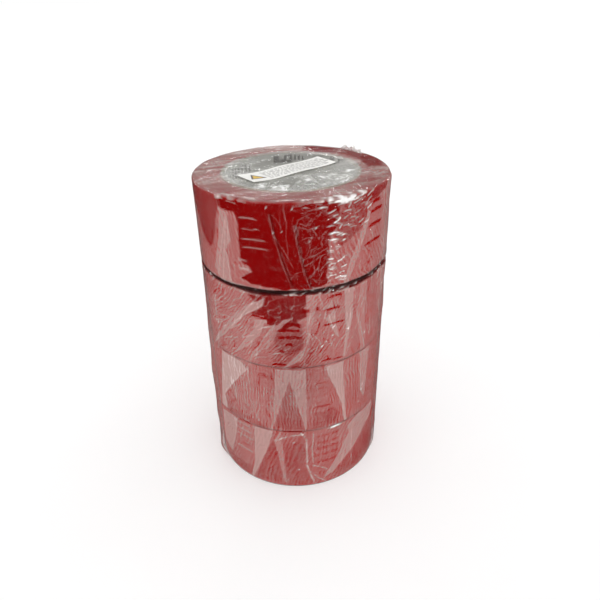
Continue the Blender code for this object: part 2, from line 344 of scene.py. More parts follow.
# Regions of thin wrinkles, each set out by chance from a fixed seed.
# (count, azimuth range, height range, direction range in degrees from level, length range in mm,
#  turn in degrees, range of the change in milkiness, half width in mm)
WRINKLES = [
    # The first four regions are painted glints: a column on the right of roll 1, bright crumples beside it,
    # and stretches of its rim.
    (30, (18, 28), (156, 199), (-15, 30), (1.5, 4.5), 30, (0.30, 0.80), 0.26),
    (20, (24, 46), (184, 202), (0, 55), (2.0, 6.0), 30, (0.20, 0.70), 0.28),
    (12, (6, 36), (200.6, 203.2), (-4, 14), (3.5, 8.0), 10, (0.60, 0.95), 0.42),
    (9, (-48, -24), (201.4, 203), (-6, 4), (3.0, 7.0), 8, (0.20, 0.50), 0.32),
    (26, (-2, 20), (157, 199), (15, 115), (3.5, 10.0), 70, (0.05, 0.17), 0.24),
    (6, (-14, 0), (157, 195), (85, 115), (7.0, 16.0), 20, (0.03, 0.09), 0.26),
    (14, (-62, -32), (156, 198), (70, 110), (6.0, 16.0), 20, (-0.14, 0.16), 0.32),
    (30, (32, 62), (156, 190), (50, 80), (4.0, 12.0), 30, (-0.14, 0.16), 0.32),
    (28, (-26, 8), (127, 150), (15, 75), (3.0, 9.0), 50, (0.05, 0.18), 0.26),
    (70, (-62, -12), (102, 149), (25, 75), (3.0, 11.0), 40, (0.06, 0.20), 0.32),
    (50, (-62, -12), (102, 149), (25, 85), (2.5, 8.0), 50, (-0.20, -0.08), 0.34),
    (60, (4, 62), (102, 149), (50, 110), (3.0, 12.0), 40, (0.06, 0.20), 0.32),
    (40, (4, 62), (102, 149), (40, 110), (2.5, 8.0), 50, (-0.20, -0.08), 0.34),
    (16, (-24, 6), (102, 128), (30, 70), (4.0, 12.0), 40, (0.06, 0.16), 0.30),
    (60, (-55, -14), (52, 99), (70, 115), (3.0, 12.0), 30, (0.05, 0.14), 0.32),
    (50, (-55, -14), (52, 99), (60, 125), (2.5, 8.0), 50, (-0.16, -0.07), 0.34),
    (26, (-12, 12), (52, 96), (50, 130), (2.0, 6.0), 40, (-0.16, 0.14), 0.32),
    (40, (8, 60), (52, 99), (65, 115), (3.0, 11.0), 30, (-0.15, 0.13), 0.32),
    (36, (-60, -6), (3, 49), (50, 130), (2.5, 8.0), 40, (-0.12, 0.14), 0.34),
    (30, (4, 60), (3, 49), (40, 110), (2.5, 9.0), 40, (-0.12, 0.14), 0.34),
    (46, (100, 152), (156, 200), (50, 120), (3.0, 11.0), 60, (0.08, 0.26), 0.42),
    (26, (-172, -138), (156, 200), (-10, 30), (1.5, 4.0), 25, (0.06, 0.26), 0.42),
    (70, (62, 178), (102, 149), (50, 110), (3.0, 12.0), 40, (-0.16, 0.20), 0.50),
    (70, (-178, -62), (102, 149), (30, 80), (3.0, 12.0), 40, (-0.16, 0.20), 0.50),
    (60, (62, 178), (4, 99), (65, 115), (3.0, 12.0), 30, (-0.14, 0.15), 0.50),
    (60, (-178, -62), (4, 99), (60, 125), (3.0, 12.0), 40, (-0.14, 0.15), 0.50),
]
# Crumples of bright film across the top groove. (azimuth, height, half length in mm)
GROOVE_CRUMPLES = [
    (-58, 151.4, 2.2), (-54, 150.6, 1.5), (-46, 149.8, 1.0), (-33, 149.3, 1.2), (-4.5, 150.8, 1.4),
    (-1, 151.6, 1.8), (3, 150.6, 1.4), (5, 151.8, 1.2), (9, 148.6, 2.4), (11.5, 147.6, 1.6),
    (18, 150.2, 2.2), (20, 151.2, 1.4), (27.5, 151.2, 1.6), (30.5, 150.6, 1.8), (37, 151.2, 1.2),
    (52, 151.5, 1.2), (63, 150.5, 1.6),
]

# Small facets that stand a little proud, each with a painted glint drawn as very milky film. (azimuth,
# height, length in mm)
GLINT_FACETS = [
    (-13, 200.5, 0.8), (0, 200, 1.0), (-5.5, 188, 0.9), (-10, 187, 0.8), (12, 189, 1.2), (8.5, 182, 0.9),
    (21, 185, 2.0), (27, 183, 2.0), (23, 180, 2.2), (19.5, 167, 1.8), (26, 157, 1.8), (29, 157.5, 1.4),
    (15.5, 115.4, 1.8), (18, 117.9, 1.0), (20, 115.8, 1.3), (22, 121, 1.6), (22.5, 127.3, 1.6),
    (32, 123, 2.0), (46.5, 114.3, 1.8), (47, 73.5, 1.4), (46, 69.7, 1.4), (44, 60, 1.0), (25, 50.2, 4.2),
    (0, 17, 1.4), (-3, 41.5, 1.4), (3, 48.5, 1.6), (66, 139, 1.8),
]

# Broad changes in milkiness. (change, azimuth, height, half width in degrees, half height in mm)
MILKY_REGIONS = [
    (-0.10, 0, 108, 14, 12), (0.07, -42, 122, 20, 20), (0.07, -35, 75, 18, 26), (0.05, -40, 30, 16, 24),
    (0.05, 30, 40, 12, 10), (0.12, 68, 175, 9, 60), (0.05, 30, 118, 14, 24), (-0.05, 44, 14, 20, 12),
    (0.06, -4, 70, 10, 10), (-0.04, -8, 25, 14, 20), (0.08, -70, 60, 10, 60),
]
LOOSE_MILK = 0.20
MOST_MILK = 0.95
PLEAT_LIFT = 0.22
FACET_LIFT = 0.30
WRINKLE_LIFT = 0.16
TOP_WRINKLE_LIFT = 0.20
CREASE_SHADOW = 0.9
# Shares of the light that shaded film takes away: where it clings, in the open groove, on the groove lines.
CLING_SHADE = 0.22
GAP_SHADE = 0.64
LINE_SHADE = 0.6
# How far the film dips into each groove, and over what half height, in mm.
GROOVE_DIPS = ((0.80, 1.5), (0.20, 0.6), (0.20, 0.6))
# Noise with this stretch is the same at every height.
ROUND_ONLY = (1, 1, 0.01)


def wrinkle_lines(regions, seed, scale):
    """Each region's wrinkles as (change, half width, three points in mm). Scale is mm per unit across."""
    chance = random.Random(seed)
    lines = []
    for count, across, up, directions, lengths, turn, changes, half in regions:
        for _ in range(count):
            u = chance.uniform(*across) * scale
            v = chance.uniform(*up)
            direction = math.radians(chance.uniform(*directions))
            bent = direction + math.radians(chance.uniform(-turn, turn))
            part = chance.uniform(*lengths) / 2
            middle = (u + part * math.cos(direction), v + part * math.sin(direction))
            end = (middle[0] + part * math.cos(bent), middle[1] + part * math.sin(bent))
            lines.append((chance.uniform(*changes), half, [(u, v), middle, end]))
    return lines


def add_wrinkles(lines, u, v, lift, milk, tall):
    """Draws thin wrinkles, some of them painted glints, into the lift field and the field of milkiness and
    painted glint, each only where it lies.
    """
    for change, half, line in lines:
        (left, foot), (right, head) = np.min(line, 0) - 1.5, np.max(line, 0) + 1.5
        if head < v.min() or foot > v.max():
            continue
        near = (u > left) & (u < right) & (v > foot) & (v < head)
        if near.any():
            shape = near_line(u[near], v[near], line, half)
            milk[near] += change * shape * (1 - 0.6 * (change < 0) * (milk[near] > 0.27))
            lift[near] += tall * math.copysign(1, change) * shape


# ---- Film fields -----------------------------------------------------------------------------
class Fields:
    """Arrays over a piece of film: places (u, v and points, in mm), lift in mm, and shares from 0 to 1."""


# The milkiness field holds both the film's haze and its painted glints.
def film_fields(lift, milk, shade, grain, scratch, phase, red_light):
    """The fields that the film's mesh and material read."""
    return {
        "lift": lift,
        "milk": np.clip(milk, 0, MOST_MILK),
        "shade": np.clip(shade, 0, 0.9),
        "grain": np.clip(grain, 0, 1.6),
        "scratch": unit(scratch),
        "phase": phase,
        "red_light": red_light,
    }


def plain_fields(milk):
    """Fields of a small piece of film that has its milkiness alone."""
    none = 0 * milk
    return film_fields(none, np.minimum(milk, 0.8), none, 0.5 + none, none, none, none)


def above(v, groove, soft=1.0):
    """1 above a groove and 0 below it."""
    return smooth(v, GROOVES[groove] - soft, GROOVES[groove] + soft)


def flow_phase(f):
    """Phase of the fine wrinkles: upright on roll 3, leaning on 1 and 4, and down to the left on roll 2."""
    warp = 7.5 * wobble(f.points, 17, 51, (1, 1, 0.6)) + 2.4 * wobble(f.points, 7, 52)
    first = above(f.v, 0)
    second = above(f.v, 1, 0.5) * (1 - first)
    fourth = 1 - above(f.v, 2, 0.5)
    third = 1 - first - second - fourth
    return (first * (2.08 * f.u + 1.04 * f.v) + second * (2.7 * f.u - 2.1 * f.v)
            + fourth * (2.25 * f.u - 0.8 * f.v) + third * 3.0 * f.u + warp)


def loose_film(f):
    """The film before any pleat."""
    coarse = wobble(f.points, 30, 1)
    level_folds = wobble(f.points, 5, 4, (0.35, 0.35, 2.2))
    upright_folds = wobble(f.points, 7, 5, (1.6, 1.6, 0.22))
    f.milk = LOOSE_MILK + 0.035 * coarse + 0.03 * f.middle + 0.02 * level_folds + 0.025 * upright_folds
    f.lift = 0.10 + 0.10 * coarse + 0.08 * f.middle + 0.05 * level_folds + 0.07 * upright_folds
    f.grain = np.clip(1.0 + 0.5 * wobble(f.points, 16, 61), 0.7, 1.4) * (0.8 + 0.2 * above(f.v, 2))
    for change, azimuth, height, wide, tall in MILKY_REGIONS:
        f.milk += change * bump(f.azimuth, azimuth, wide) * bump(f.v, height, tall)


def add_clings_and_pleats(f):
    """Clear patches where the film clings, then the milky pleats over them."""
    drift_u = 1.5 * wobble(f.points, 6, 17)
    drift_v = 1.5 * wobble(f.points, 6, 18)
    clings = [(strength, on_side(outline)) for strength, outline in CLINGS]
    cling = strongest(clings, f.u + drift_u, f.v + drift_v, 0.6)
    f.cling = cling * (1 - 0.5 * (1 - cling) * unit(0.5 + 1.6 * f.middle + 0.7 * f.fine))
    f.milk *= 1 - f.cling
    f.lift *= 1 - 0.6 * f.cling
    for strength, outline in PLEATS:
        outline = on_side(outline)
        shape = inside_outline(f.u + 0.3 * drift_u, f.v + 0.3 * drift_v, outline, 0.4)
        f.milk += shape * (strength - f.milk)
        f.milk += 0.06 * near_line(f.u, f.v, outline + outline[:1], 0.5)
        f.lift += PLEAT_LIFT * inside_outline(f.u, f.v, outline, 1.0)
        f.cling *= 1 - 0.9 * shape
        f.grain *= 1 - 0.55 * shape
    f.grain *= 1 - f.cling


def add_streaks_and_dashes(f):
    """Short level folds: bright ones stand up, and the brightest of them are painted glints; dark ones cling.
    """
    for change, first, last, level, half in STREAKS:
        start, end = round_mm(first), round_mm(last)
        curve = level + 0.5 * np.sin((f.u - start) / max(end - start, 1) * math.pi) + 0.25 * f.middle
        shape = between(f.u, start, end, 0.8, 2.2) * bump(f.v, curve, half * 0.8)
        f.milk += change * shape
        f.lift += (0.20 if change > 0 else -0.15) * shape
        f.cling = np.maximum(f.cling, -1.6 * change * shape)
        f.grain *= 1 - 0.8 * shape
    for first, last in DASH_COLUMNS:
        along = between(f.u, round_mm(first), round_mm(last), 0.4, 0.8)
        for level in DASH_LEVELS:
            f.milk -= 0.11 * along * bump(f.v, level, 1.2)
            f.grain *= 1 - 0.7 * along * bump(f.v, level, 1.6)
            f.lift -= 0.10 * along * bump(f.v, level, 1.1)


def flake(f, place, level, long, lean, ragged, thin):
    """A small slanted flake of film at an azimuth and height."""
    across = (f.u - round_mm(place)) / long
    tilt = (f.v - level - lean * across + ragged * f.fine) / thin
    return np.exp(-across ** 2 - tilt ** 2)


def add_creases_and_glints(f):
    """Thin folds that stand up, the dark sides of the deep ones, and small facets with painted glints."""
    f.dark_side = np.zeros(f.u.shape)
    for tall, half, milky, line in CREASES:
        line = on_side(line)
        shape = near_line(f.u, f.v, line, half * 0.6) * np.clip(0.75 + 0.9 * f.fine, 0.2, 1)
        f.milk += 1.2 * milky * shape
        f.lift += tall * shape
        if tall >= DEEP_CREASE:
            f.dark_side = np.maximum(f.dark_side, near_line(f.u - CREASE_SHADOW, f.v, line, half * 0.8))
    for place, level, long in GLINT_FACETS:
        shape = flake(f, place, level, 0.5 * long, 0.4, -0.8, 0.30)
        # Painted glint: the facet's film is made very milky, so it shows nearly white.
        f.milk += 0.7 * shape
        f.lift += FACET_LIFT * shape


def add_rim_and_ripples(f):
    """A column of level ripples on the right of roll 1 with painted glints whitening their crests, and
    painted glints along its rim.
    """
    from_top = TOP_Z - f.v
    column = bump(f.azimuth, 24.5, 6.5) * smooth(from_top, 0, 3)
    column *= smooth(f.v, GROOVES[0] + 1.5, GROOVES[0] + 6)
    ripple = np.sin(f.v * 1.35 + 5.5 * wobble(f.points, 4, 11, (1, 1, 0.5)) + 5.0 * f.middle)
    f.lift += 0.42 * column * ripple * np.clip(0.5 + 1.3 * f.fine, 0, 1.2)
    # Painted glints on the ripples' crests.
    f.milk += 0.12 * column * unit(ripple * 0.7 + 1.1 * f.fine - 0.25)
    right_rim = bump(f.azimuth, 21, 14) * smooth(-from_top, -6, -1.5)
    f.milk += 0.5 * right_rim * patches(f.points, -0.2, 3.0, 4.0, 15, (0.6, 0.6, 2.2))
    left_rim = bump(f.azimuth, -30, 14) * smooth(-from_top, -2.4, -0.9)
    f.milk += 0.14 * left_rim * patches(f.points, 0.2, 1.5, 5, 16)


def scratches(f):
    """How plainly the material's fine strokes show: most where the film clings to rolls 1 and 2."""
    first = above(f.v, 0)
    return np.maximum.reduce([
        0.75 * bump(f.azimuth, 10, 10.5) * first,
        0.20 * first,
        0.9 * bump(f.azimuth, -6, 14) * bump(f.v, 142, 9),
        0.8 * bump(f.azimuth, 32, 12) * smooth(f.v, 176, 182),
        0.75 * (1 - first) * patches(f.points, 0.4, 1.3, 20, 62),
        0.35 * bump(f.azimuth, -8, 12) * bump(f.v, GROOVES[0] - 8, 9),
    ])


def add_shade(f):
    """Shade where the film clings, on the dark sides of creases, and down the middle of the pack."""
    f.shade = CLING_SHADE * (unit(f.cling) + f.dark_side * unit(f.cling * 1.5 - 0.3))
    f.shade += 0.16 * bump(f.azimuth, -2, 14) * bump(f.v, 92, 42)


def add_grooves(f):
    """The grooves between the rolls. The top one is open, with crumpled film across it."""
    for groove, (depth, half) in zip(GROOVES, GROOVE_DIPS):
        f.lift -= depth * bump(f.v, groove, half)
    wave = GROOVES[0] - 0.3 + 0.5 * wobble(f.points, 22, 12, ROUND_ONLY)
    half = (1.9 + 0.8 * wobble(f.points, 12, 13, ROUND_ONLY)) * (0.65 + 0.35 * smooth(f.azimuth, -45, -12))
    gap = smooth(-np.abs(f.v - wave), -half - 0.35, -half + 0.35)
    crumple = unit(wobble(f.points, 3.4, 8, (1, 1, 2.2)) * 2.2 + wobble(f.points, 13, 9) * 1.6 - 0.75)
    for place, level, long in GROOVE_CRUMPLES:
        crumple = np.maximum(crumple, 0.8 * flake(f, place, level, long, 0.35, 0.8, 0.36))
    f.milk = f.milk * (1 - 0.95 * gap) + gap * 0.60 * crumple
    f.shade = np.maximum(f.shade, gap * (1 - crumple) * GAP_SHADE)
    f.lift += gap * 0.9 * crumple
    edges = bump(f.v, GROOVES[0] + 2.0, 0.6) + bump(f.v, GROOVES[0] - 2.6, 0.8)
    f.milk += 0.18 * edges * patches(f.points, 0.1, 1.8, 6, 10)
    f.grain *= 1 - gap
    for groove in GROOVES[1:]:
        line = bump(f.v, groove + 0.1, 0.35) * patches(f.points, 0.55, 1.2, 9, 14, ROUND_ONLY)
        f.shade = np.maximum(f.shade, LINE_SHADE * line)
        f.milk *= 1 - 0.6 * line


def side_fields(azimuth, height):
    """Fields of the film's side at arrays of azimuth and height."""
    f = Fields()
    f.azimuth, f.u, f.v = azimuth, round_mm(azimuth), height
    f.points = round_points(FILM_R, azimuth, height)
    f.middle = wobble(f.points, 10, 2, (1, 1, 0.6))
    f.fine = wobble(f.points, 3.2, 3, (1, 1, 1.5))
    loose_film(f)
    add_clings_and_pleats(f)
    add_streaks_and_dashes(f)
    add_creases_and_glints(f)
    add_wrinkles(wrinkle_lines(WRINKLES, 33, round_mm(1)), f.u, f.v, f.lift, f.milk, WRINKLE_LIFT)
    add_rim_and_ripples(f)
    add_shade(f)
    add_grooves(f)
    # The film stands off the rolls down the sides and low on the left.
    stand_off = 2.5 * bump(azimuth, -72, 12) * smooth(-height, -150, -60) + 1.2 * bump(azimuth, 74, 10)
    f.lift += stand_off * (0.8 + 0.3 * f.middle)
    # A broad glare on the rim of roll 4.
    f.milk += bump(azimuth, 25, 3.6) * bump(height, 49.9 + 0.03 * (azimuth - 25), 0.7)
    f.lift *= smooth(height, BOTTOM_Z, BOTTOM_Z + 2.5)
    lowest = -0.28 - 0.6 * bump(height, GROOVES[0], 0.9)
    # The last field is painted red light from the tape, full all round the side.
    return film_fields(np.maximum(f.lift, lowest), f.milk, f.shade, f.grain, scratches(f), flow_phase(f),
                       1 + 0 * f.u)


# ---- Layout of the film's top ----------------------------------------------------------------
TOP_CLINGS = [
    (1.00, [(8, 43), (10, 56), (30, 51), (46, 38), (56, 20), (54, 2), (46, 2), (43, 14), (38, 24),
            (28, 35)]),
    (0.30, [(36, -18), (45, -16), (46, -28), (36, -30)]),
    (0.25, [(8, -44), (30, -42), (20, -50), (6, -52)]),
    (0.22, [(-44, 12), (-36, 14), (-37, 4), (-45, 2)]),
]
# Painted glints on crumples over the core's mouth, drawn as very milky film. (x, y, half width), in mm
TOP_GLINT_FACETS = [
    (-4, -34, 4.5), (-15, -31, 2.6), (9, -20, 2.4), (14.5, -24, 1.6), (17.5, -31, 1.6), (33, -5, 2.4),
    (24, -14, 2.6), (19, -17, 2.0), (5, -25, 1.5), (28, -20, 1.5),
]
# Bright crumpled stretches of the rim. (strength, half width in mm, patches, seed, line)
RIM_GLINTS = [
    (0.30, 1.1, (0.5, 1.5), 35, [(-44, -34), (-36, -42), (-28, -48), (-18, -53)]),
    (0.60, 1.6, (0.3, 2.2), 36, [(4, -56), (16, -54), (26, -50), (36, -44)]),
]
# Thin wrinkles of the top, as WRINKLES gives them, in mm from the stack's axis.
TOP_WRINKLES = [
    (26, (2, 34), (-30, 4), (-20, 75), (2.5, 7.5), 60, (0.12, 0.50), 0.40),
    (16, (-22, 4), (-38, -26), (-10, 60), (2.0, 5.5), 50, (0.15, 0.60), 0.42),
    (14, (-34, -6), (-26, 30), (-20, 60), (3.0, 9.0), 40, (0.05, 0.25), 0.42),
    (22, (-52, -38), (-24, 26), (5, 50), (6.0, 16.0), 15, (-0.20, 0.10), 0.50),
    (34, (-40, 40), (-55, -40), (-12, 20), (6.0, 18.0), 15, (-0.18, 0.18), 0.50),
    (34, (34, 55), (-32, 26), (15, 70), (4.0, 12.0), 25, (-0.22, 0.24), 0.50),
    (22, (-40, 16), (40, 55), (-15, 20), (6.0, 16.0), 15, (-0.16, 0.14), 0.55),
    (16, (20, 48), (22, 48), (-60, 70), (3.0, 9.0), 20, (0.08, 0.30), 0.42),
]
SEAM_AZIMUTH = 130.0
SEAM_HALF = 1.8
SEAM_COLUMNS = 15
SEAM_ROWS = 260
EAR_AZIMUTH = 132.0
EAR_SWEEP = 19.0
EAR_HEIGHT = 3.4
EAR_LIMIT = 4.6
EAR_INSET = 3.4
EAR_LEAN = 1.6
EAR_FOLD = 0.9
EAR_COLUMNS = 110
EAR_ROWS = 30
EAR_PLACE = (42.0, 37.0)
LABEL_YAW = math.radians(37)
LABEL_SIZE = (60.0, 17.5)
LABEL_CENTRE = (-1.6, -0.9)


def label_cover(x, y, margin):
    """1 under the label and margin mm round it."""
    dx, dy = x - LABEL_CENTRE[0], y - LABEL_CENTRE[1]
    along = dx * math.cos(LABEL_YAW) + dy * math.sin(LABEL_YAW)
    across = dy * math.cos(LABEL_YAW) - dx * math.sin(LABEL_YAW)
    length, width = LABEL_SIZE[0] / 2 + margin, LABEL_SIZE[1] / 2 + margin
    return between(along, -length, length, 1, 0) * between(across, -width, width, 1, 0)


def mouth_sag(r):
    """How far the film sinks over the core's mouth."""
    return 0.9 * (1 - (np.minimum(r, BORE_R) / BORE_R) ** 2)


def loose_top(f, x, y):
    """The film's top before its folds: hazy over the tape, sunk and clearer over the core's mouth."""
    coarse = wobble(f.points, 24, 21)
    f.milk = 0.33 + 0.08 * smooth(y, 10, 50) - 0.12 * smooth(-y, 20, 48) + 0.06 * coarse + 0.06 * f.middle
    mouth = 0.24 + 0.14 * smooth(x, 14, 32) + 0.07 * smooth(-x, 14, 32) + 0.06 * coarse + 0.06 * f.middle
    mouth -= 0.09 * smooth(y, 6, 24)
    f.milk = f.milk * (1 - f.over_hole) + f.over_hole * mouth
    turned_points = np.stack([0.35 * (x + 0.35 * y), 1.5 * (y - 0.35 * x), 0 * x], -1)
    streak = wobble(turned_points, 9, 32) + 0.6 * wobble(turned_points, 4, 33)
    f.milk += (0.17 - 0.12 * f.over_hole) * streak
    f.lift = (1 - f.over_hole) * (0.05 + 0.12 * np.abs(f.middle) + 0.05 * f.fine + 0.12 * streak)
    f.lift += f.loose * (0.30 * coarse + 0.22 * f.middle + 0.06 * f.fine) - mouth_sag(f.r) * f.over_hole


def add_ear_fan(f, x, y):
    """Wrinkles that fan out from the ear."""
    ex, ey = x - EAR_PLACE[0], y - EAR_PLACE[1]
    away = np.hypot(ex, ey)
    fan = np.sin(np.arctan2(ey, ex) * 16 + 2.0 * f.middle) * np.exp(-away / 14)
    f.lift += 0.35 * fan * smooth(away, 1, 5) * smooth(FILM_R - f.r, 0, 4)
    f.milk += 0.10 * fan


def add_mouth_crumples(f, x, y):
    """Crumpled film over the core's mouth, most of it in front of the label, with painted glints on it."""
    f.crumpled = f.loose * smooth(-y, -8, 10) * patches(f.points, 0.55, 1.2, 15, 25)
    star = ridges(f.points, 7, 26, (1, 1.6, 1))
    f.lift += f.crumpled * (0.9 * star + 0.4 * f.fine)
    f.milk += 0.16 * f.crumpled * star
    # Painted glints: very milky spots on the crumples.
    for place_x, place_y, half in TOP_GLINT_FACETS:
        near = bump(np.hypot(x - place_x, (y - place_y) * 0.7), 0, half)
        f.milk += 0.7 * near * patches(f.points, 0.4, 1.6, 2.6, 29, (1, 0.6, 1))
        f.lift += 0.5 * f.loose * near * wobble(f.points, 3, 30)


def top_fields(x, y):
    """Fields of the film's top, as side_fields gives them."""
    f = Fields()
    f.r = np.hypot(x, y)
    f.points = np.stack([x, y, 0 * x], -1)
    f.middle = wobble(f.points, 8, 22)
    f.fine = wobble(f.points, 3.0, 23)
    under_label = label_cover(x, y, 1.5)
    f.over_hole = 1 - smooth(f.r, BORE_R - 2, BORE_R + 1.0)
    f.loose = f.over_hole * (1 - under_label)
    loose_top(f, x, y)
    add_ear_fan(f, x, y)
    cling = strongest(TOP_CLINGS, x, y, 2.0)
    f.milk = f.milk * (1 - 0.95 * cling) + 0.15 * cling * ridges(f.points, 5, 34, (0.6, 1.6, 1))
    crossing = ridges(f.points, 9, 24)
    f.milk += 0.06 * crossing * (1 - cling)
    f.lift += 0.10 * crossing * (1 - 0.5 * f.over_hole)
    add_mouth_crumples(f, x, y)
    for strength, half, (middle, contrast), seed, line in RIM_GLINTS:
        f.milk += strength * near_line(x, y, line, half) * patches(f.points, middle, contrast, 4, seed)
    f.milk += 0.04 * bump(f.r, BORE_R + 0.8, 1.2)
    wrinkled = f.lift.copy()
    add_wrinkles(wrinkle_lines(TOP_WRINKLES, 35, 1.0), x, y, wrinkled, f.milk, TOP_WRINKLE_LIFT)
    f.lift += (wrinkled - f.lift) * (1 - under_label)
    phase = 2.2 * (x + 0.5 * y) + 7 * wobble(f.points, 14, 27) + 2.5 * wobble(f.points, 6, 28)
    # Painted red light from the tape: none over the core's mouth, full over the tape.
    red_light = smooth(f.r, OUTER_PLY_R - 1, OUTER_PLY_R + 1.5)
    shade = 0.05 * cling
    grain = 0.7 + 0 * x
    scratch = 0.25 + 0.4 * f.crumpled
    return film_fields(f.lift, f.milk, shade, grain, scratch, phase, red_light)


# ---- Materials -------------------------------------------------------------------------------
class Nodes:
    """A short way to write the nodes of a material or the world."""

    def __init__(self, owner, output):
        self.owner = owner
        owner.use_nodes = True
        self.tree = owner.node_tree
        self.tree.nodes.clear()
        self.output = self.add(output)

    def add(self, kind, inputs=None, **settings):
        """A new node. Inputs gives a link or a constant for each socket's name or number."""
        node = self.tree.nodes.new(kind)
        for key, value in settings.items():
            setattr(node, key, value)
        for key, value in (inputs or {}).items():
            socket = node.inputs[key]
            if isinstance(value, bpy.types.NodeSocket):
                self.tree.links.new(value, socket)
            elif value is not None:
                socket.default_value = (*value, 1) if socket.type == "RGBA" else value
        return node

    def math(self, operation, *values):
        return self.add("ShaderNodeMath", dict(enumerate(values)), operation=operation).outputs[0]

    def plus(self, a, b):
        return self.math("ADD", a, b)

    def times(self, a, b):
        return self.math("MULTIPLY", a, b)

    def centred(self, value, gain):
        """Noise moved to lie round 0, and scaled."""
        return self.times(self.math("SUBTRACT", value, 0.5), gain)

    def spread(self, *values):
        """A smoothed map range: value, low, high, and where low and high go (0 and 1 if not given)."""
        inputs = dict(enumerate(values))
        return self.add("ShaderNodeMapRange", inputs, interpolation_type="SMOOTHSTEP").outputs[0]

    def mix(self, factor, a, b):
        return self.add("ShaderNodeMix", {0: factor, 6: a, 7: b}, data_type="RGBA").outputs[2]

    def attribute(self, name):
        return self.add("ShaderNodeAttribute", attribute_name=name).outputs["Fac"]

    def place(self):
        return self.add("ShaderNodeTexCoord").outputs["Object"]

    def parts(self, vector):
        return self.add("ShaderNodeSeparateXYZ", {0: vector}).outputs

    def vector(self, operation, a, b):
        return self.add("ShaderNodeVectorMath", {0: a, 1: b}, operation=operation).outputs[0]

    def scaled(self, vector, scale):
        return self.vector("MULTIPLY", vector, scale)

    def noise(self, vector, scale, detail=3.0, rough=0.5, distortion=0.0):
        inputs = {"Vector": vector, "Scale": scale, "Detail": detail, "Roughness": rough,
                  "Distortion": distortion}
        return self.add("ShaderNodeTexNoise", inputs).outputs["Fac"]

    def bumped(self, height, distance, strength):
        inputs = {"Height": height, "Distance": distance, "Strength": strength}
        return self.add("ShaderNodeBump", inputs).outputs["Normal"]

    def principled(self, colour, roughness, normal, specular, **extra):
        inputs = {"Base Color": colour, "Roughness": roughness, "Normal": normal,
                  "Specular IOR Level": specular}
        return self.add("ShaderNodeBsdfPrincipled", {**inputs, **extra}).outputs[0]

    def blend(self, factor, a, b):
        return self.add("ShaderNodeMixShader", {0: factor, 1: a, 2: b}).outputs[0]

    def done(self, shader):
        self.tree.links.new(shader, self.output.inputs["Surface"])
        return self.owner


def material_nodes(name):
    return Nodes(bpy.data.materials.new(name), "ShaderNodeOutputMaterial")


FILM_FIELDS = ("milk", "shade", "grain", "scratch", "phase", "red_light")
WHITE = (1.0, 1.0, 1.0)
BLACK = (0.0, 0.0, 0.0)
FILM_WHITE = (0.90, 0.89, 0.84)
# Painted light: the haze over the tape is pink, as if lit by red light from the tape under it.
FILM_IN_RED_LIGHT = (0.80, 0.63, 0.585)
FILM_GLINT = (0.97, 0.965, 0.955)
FILM_ROUGHNESS = 0.25
FILM_IOR = 1.27
GLOSS_ROUGHNESS = 0.05
# (noise scale, shift) of the three sizes of scratch
STROKES = ((170, (0, 0, 0)), (260, (3, 1, 2)), (380, (5, 2, 7)))


def wrinkle_waves(n, place, phase):
    """Fine wrinkles: waves along the phase, bent and broken by noise."""
    bend = n.centred(n.noise(n.scaled(place, (1, 1, 0.7)), 250, 1), 8.0)
    broken = n.spread(n.noise(place, 120, 2), 0.36, 0.62, 0.1, 1.0)
    return n.times(n.math("SINE", n.plus(phase, bend)), broken)


def scratch_strokes(n, place):
    """Thin bright strokes, where the noise crosses its middle."""
    stretched = n.scaled(place, (1, 1, 0.75))
    strokes = 0.0
    for scale, shift in STROKES:
        shifted = n.vector("ADD", stretched, shift)
        from_middle = n.math("ABSOLUTE", n.math("SUBTRACT", n.noise(shifted, scale, 1, 0.5, 1.4), 0.5))
        stroke = n.spread(from_middle, 0.0, 0.020, 1.0, 0.0)
        gaps = n.spread(n.noise(shifted, scale * 1.7, 1), 0.46, 0.56)
        strokes = n.math("MAXIMUM", strokes, n.times(stroke, gaps))
    return strokes


def film_material():
    """Clear film. The mesh says how milky, shaded and wrinkled it is and how much painted red light from the
    tape it takes, and the nodes draw the wrinkles.
    """
    n = material_nodes("clear_film")
    place = n.place()
    milk, shade, grain, scratch, phase, red_light = [n.attribute(name) for name in FILM_FIELDS]
    fine = n.noise(n.scaled(place, (1, 1, 1.6)), 1000, 4, 0.6, 0.4)
    streaky = n.noise(n.scaled(place, (1, 1, 4.0)), 300, 3, 0.6, 0.6)
    crinkle = n.noise(place, 420, 2, 0.5, 1.2)
    line = wrinkle_waves(n, place, phase)
    strokes = n.times(scratch_strokes(n, place), scratch)
    variation = n.plus(n.times(line, 0.09), n.plus(n.centred(streaky, 0.22), n.centred(fine, 0.12)))
    # This holds the film's haze and its painted glints.
    milky = n.math("MULTIPLY_ADD", variation, grain, milk)
    milky = n.math("MAXIMUM", n.math("MULTIPLY_ADD", strokes, 0.20, milky), 0.0)
    height = n.plus(n.times(crinkle, 0.5), n.times(streaky, 0.4))
    height = n.times(n.math("MULTIPLY_ADD", line, 0.16, height), grain)
    normal = n.bumped(n.math("MULTIPLY_ADD", strokes, 0.8, height), 0.0003, 0.8)
    clear = n.add("ShaderNodeBsdfTransparent", {"Color": n.mix(shade, WHITE, BLACK)}).outputs[0]
    gloss = {"Color": WHITE, "Roughness": GLOSS_ROUGHNESS, "Normal": normal}
    shine = n.add("ShaderNodeBsdfGlossy", gloss).outputs[0]
    fresnel = n.add("ShaderNodeFresnel", {"IOR": FILM_IOR, "Normal": normal}).outputs[0]
    # The haze is pink where painted red light from the tape falls on it, and turns to FILM_GLINT white, a
    # painted highlight, where it is most milky.
    colour = n.mix(n.spread(milky, 0.48, 0.8), n.mix(red_light, FILM_WHITE, FILM_IN_RED_LIGHT), FILM_GLINT)
    haze = n.principled(colour, FILM_ROUGHNESS, normal, 0.25)
    return n.done(n.blend(milky, n.blend(fresnel, clear, shine), haze))


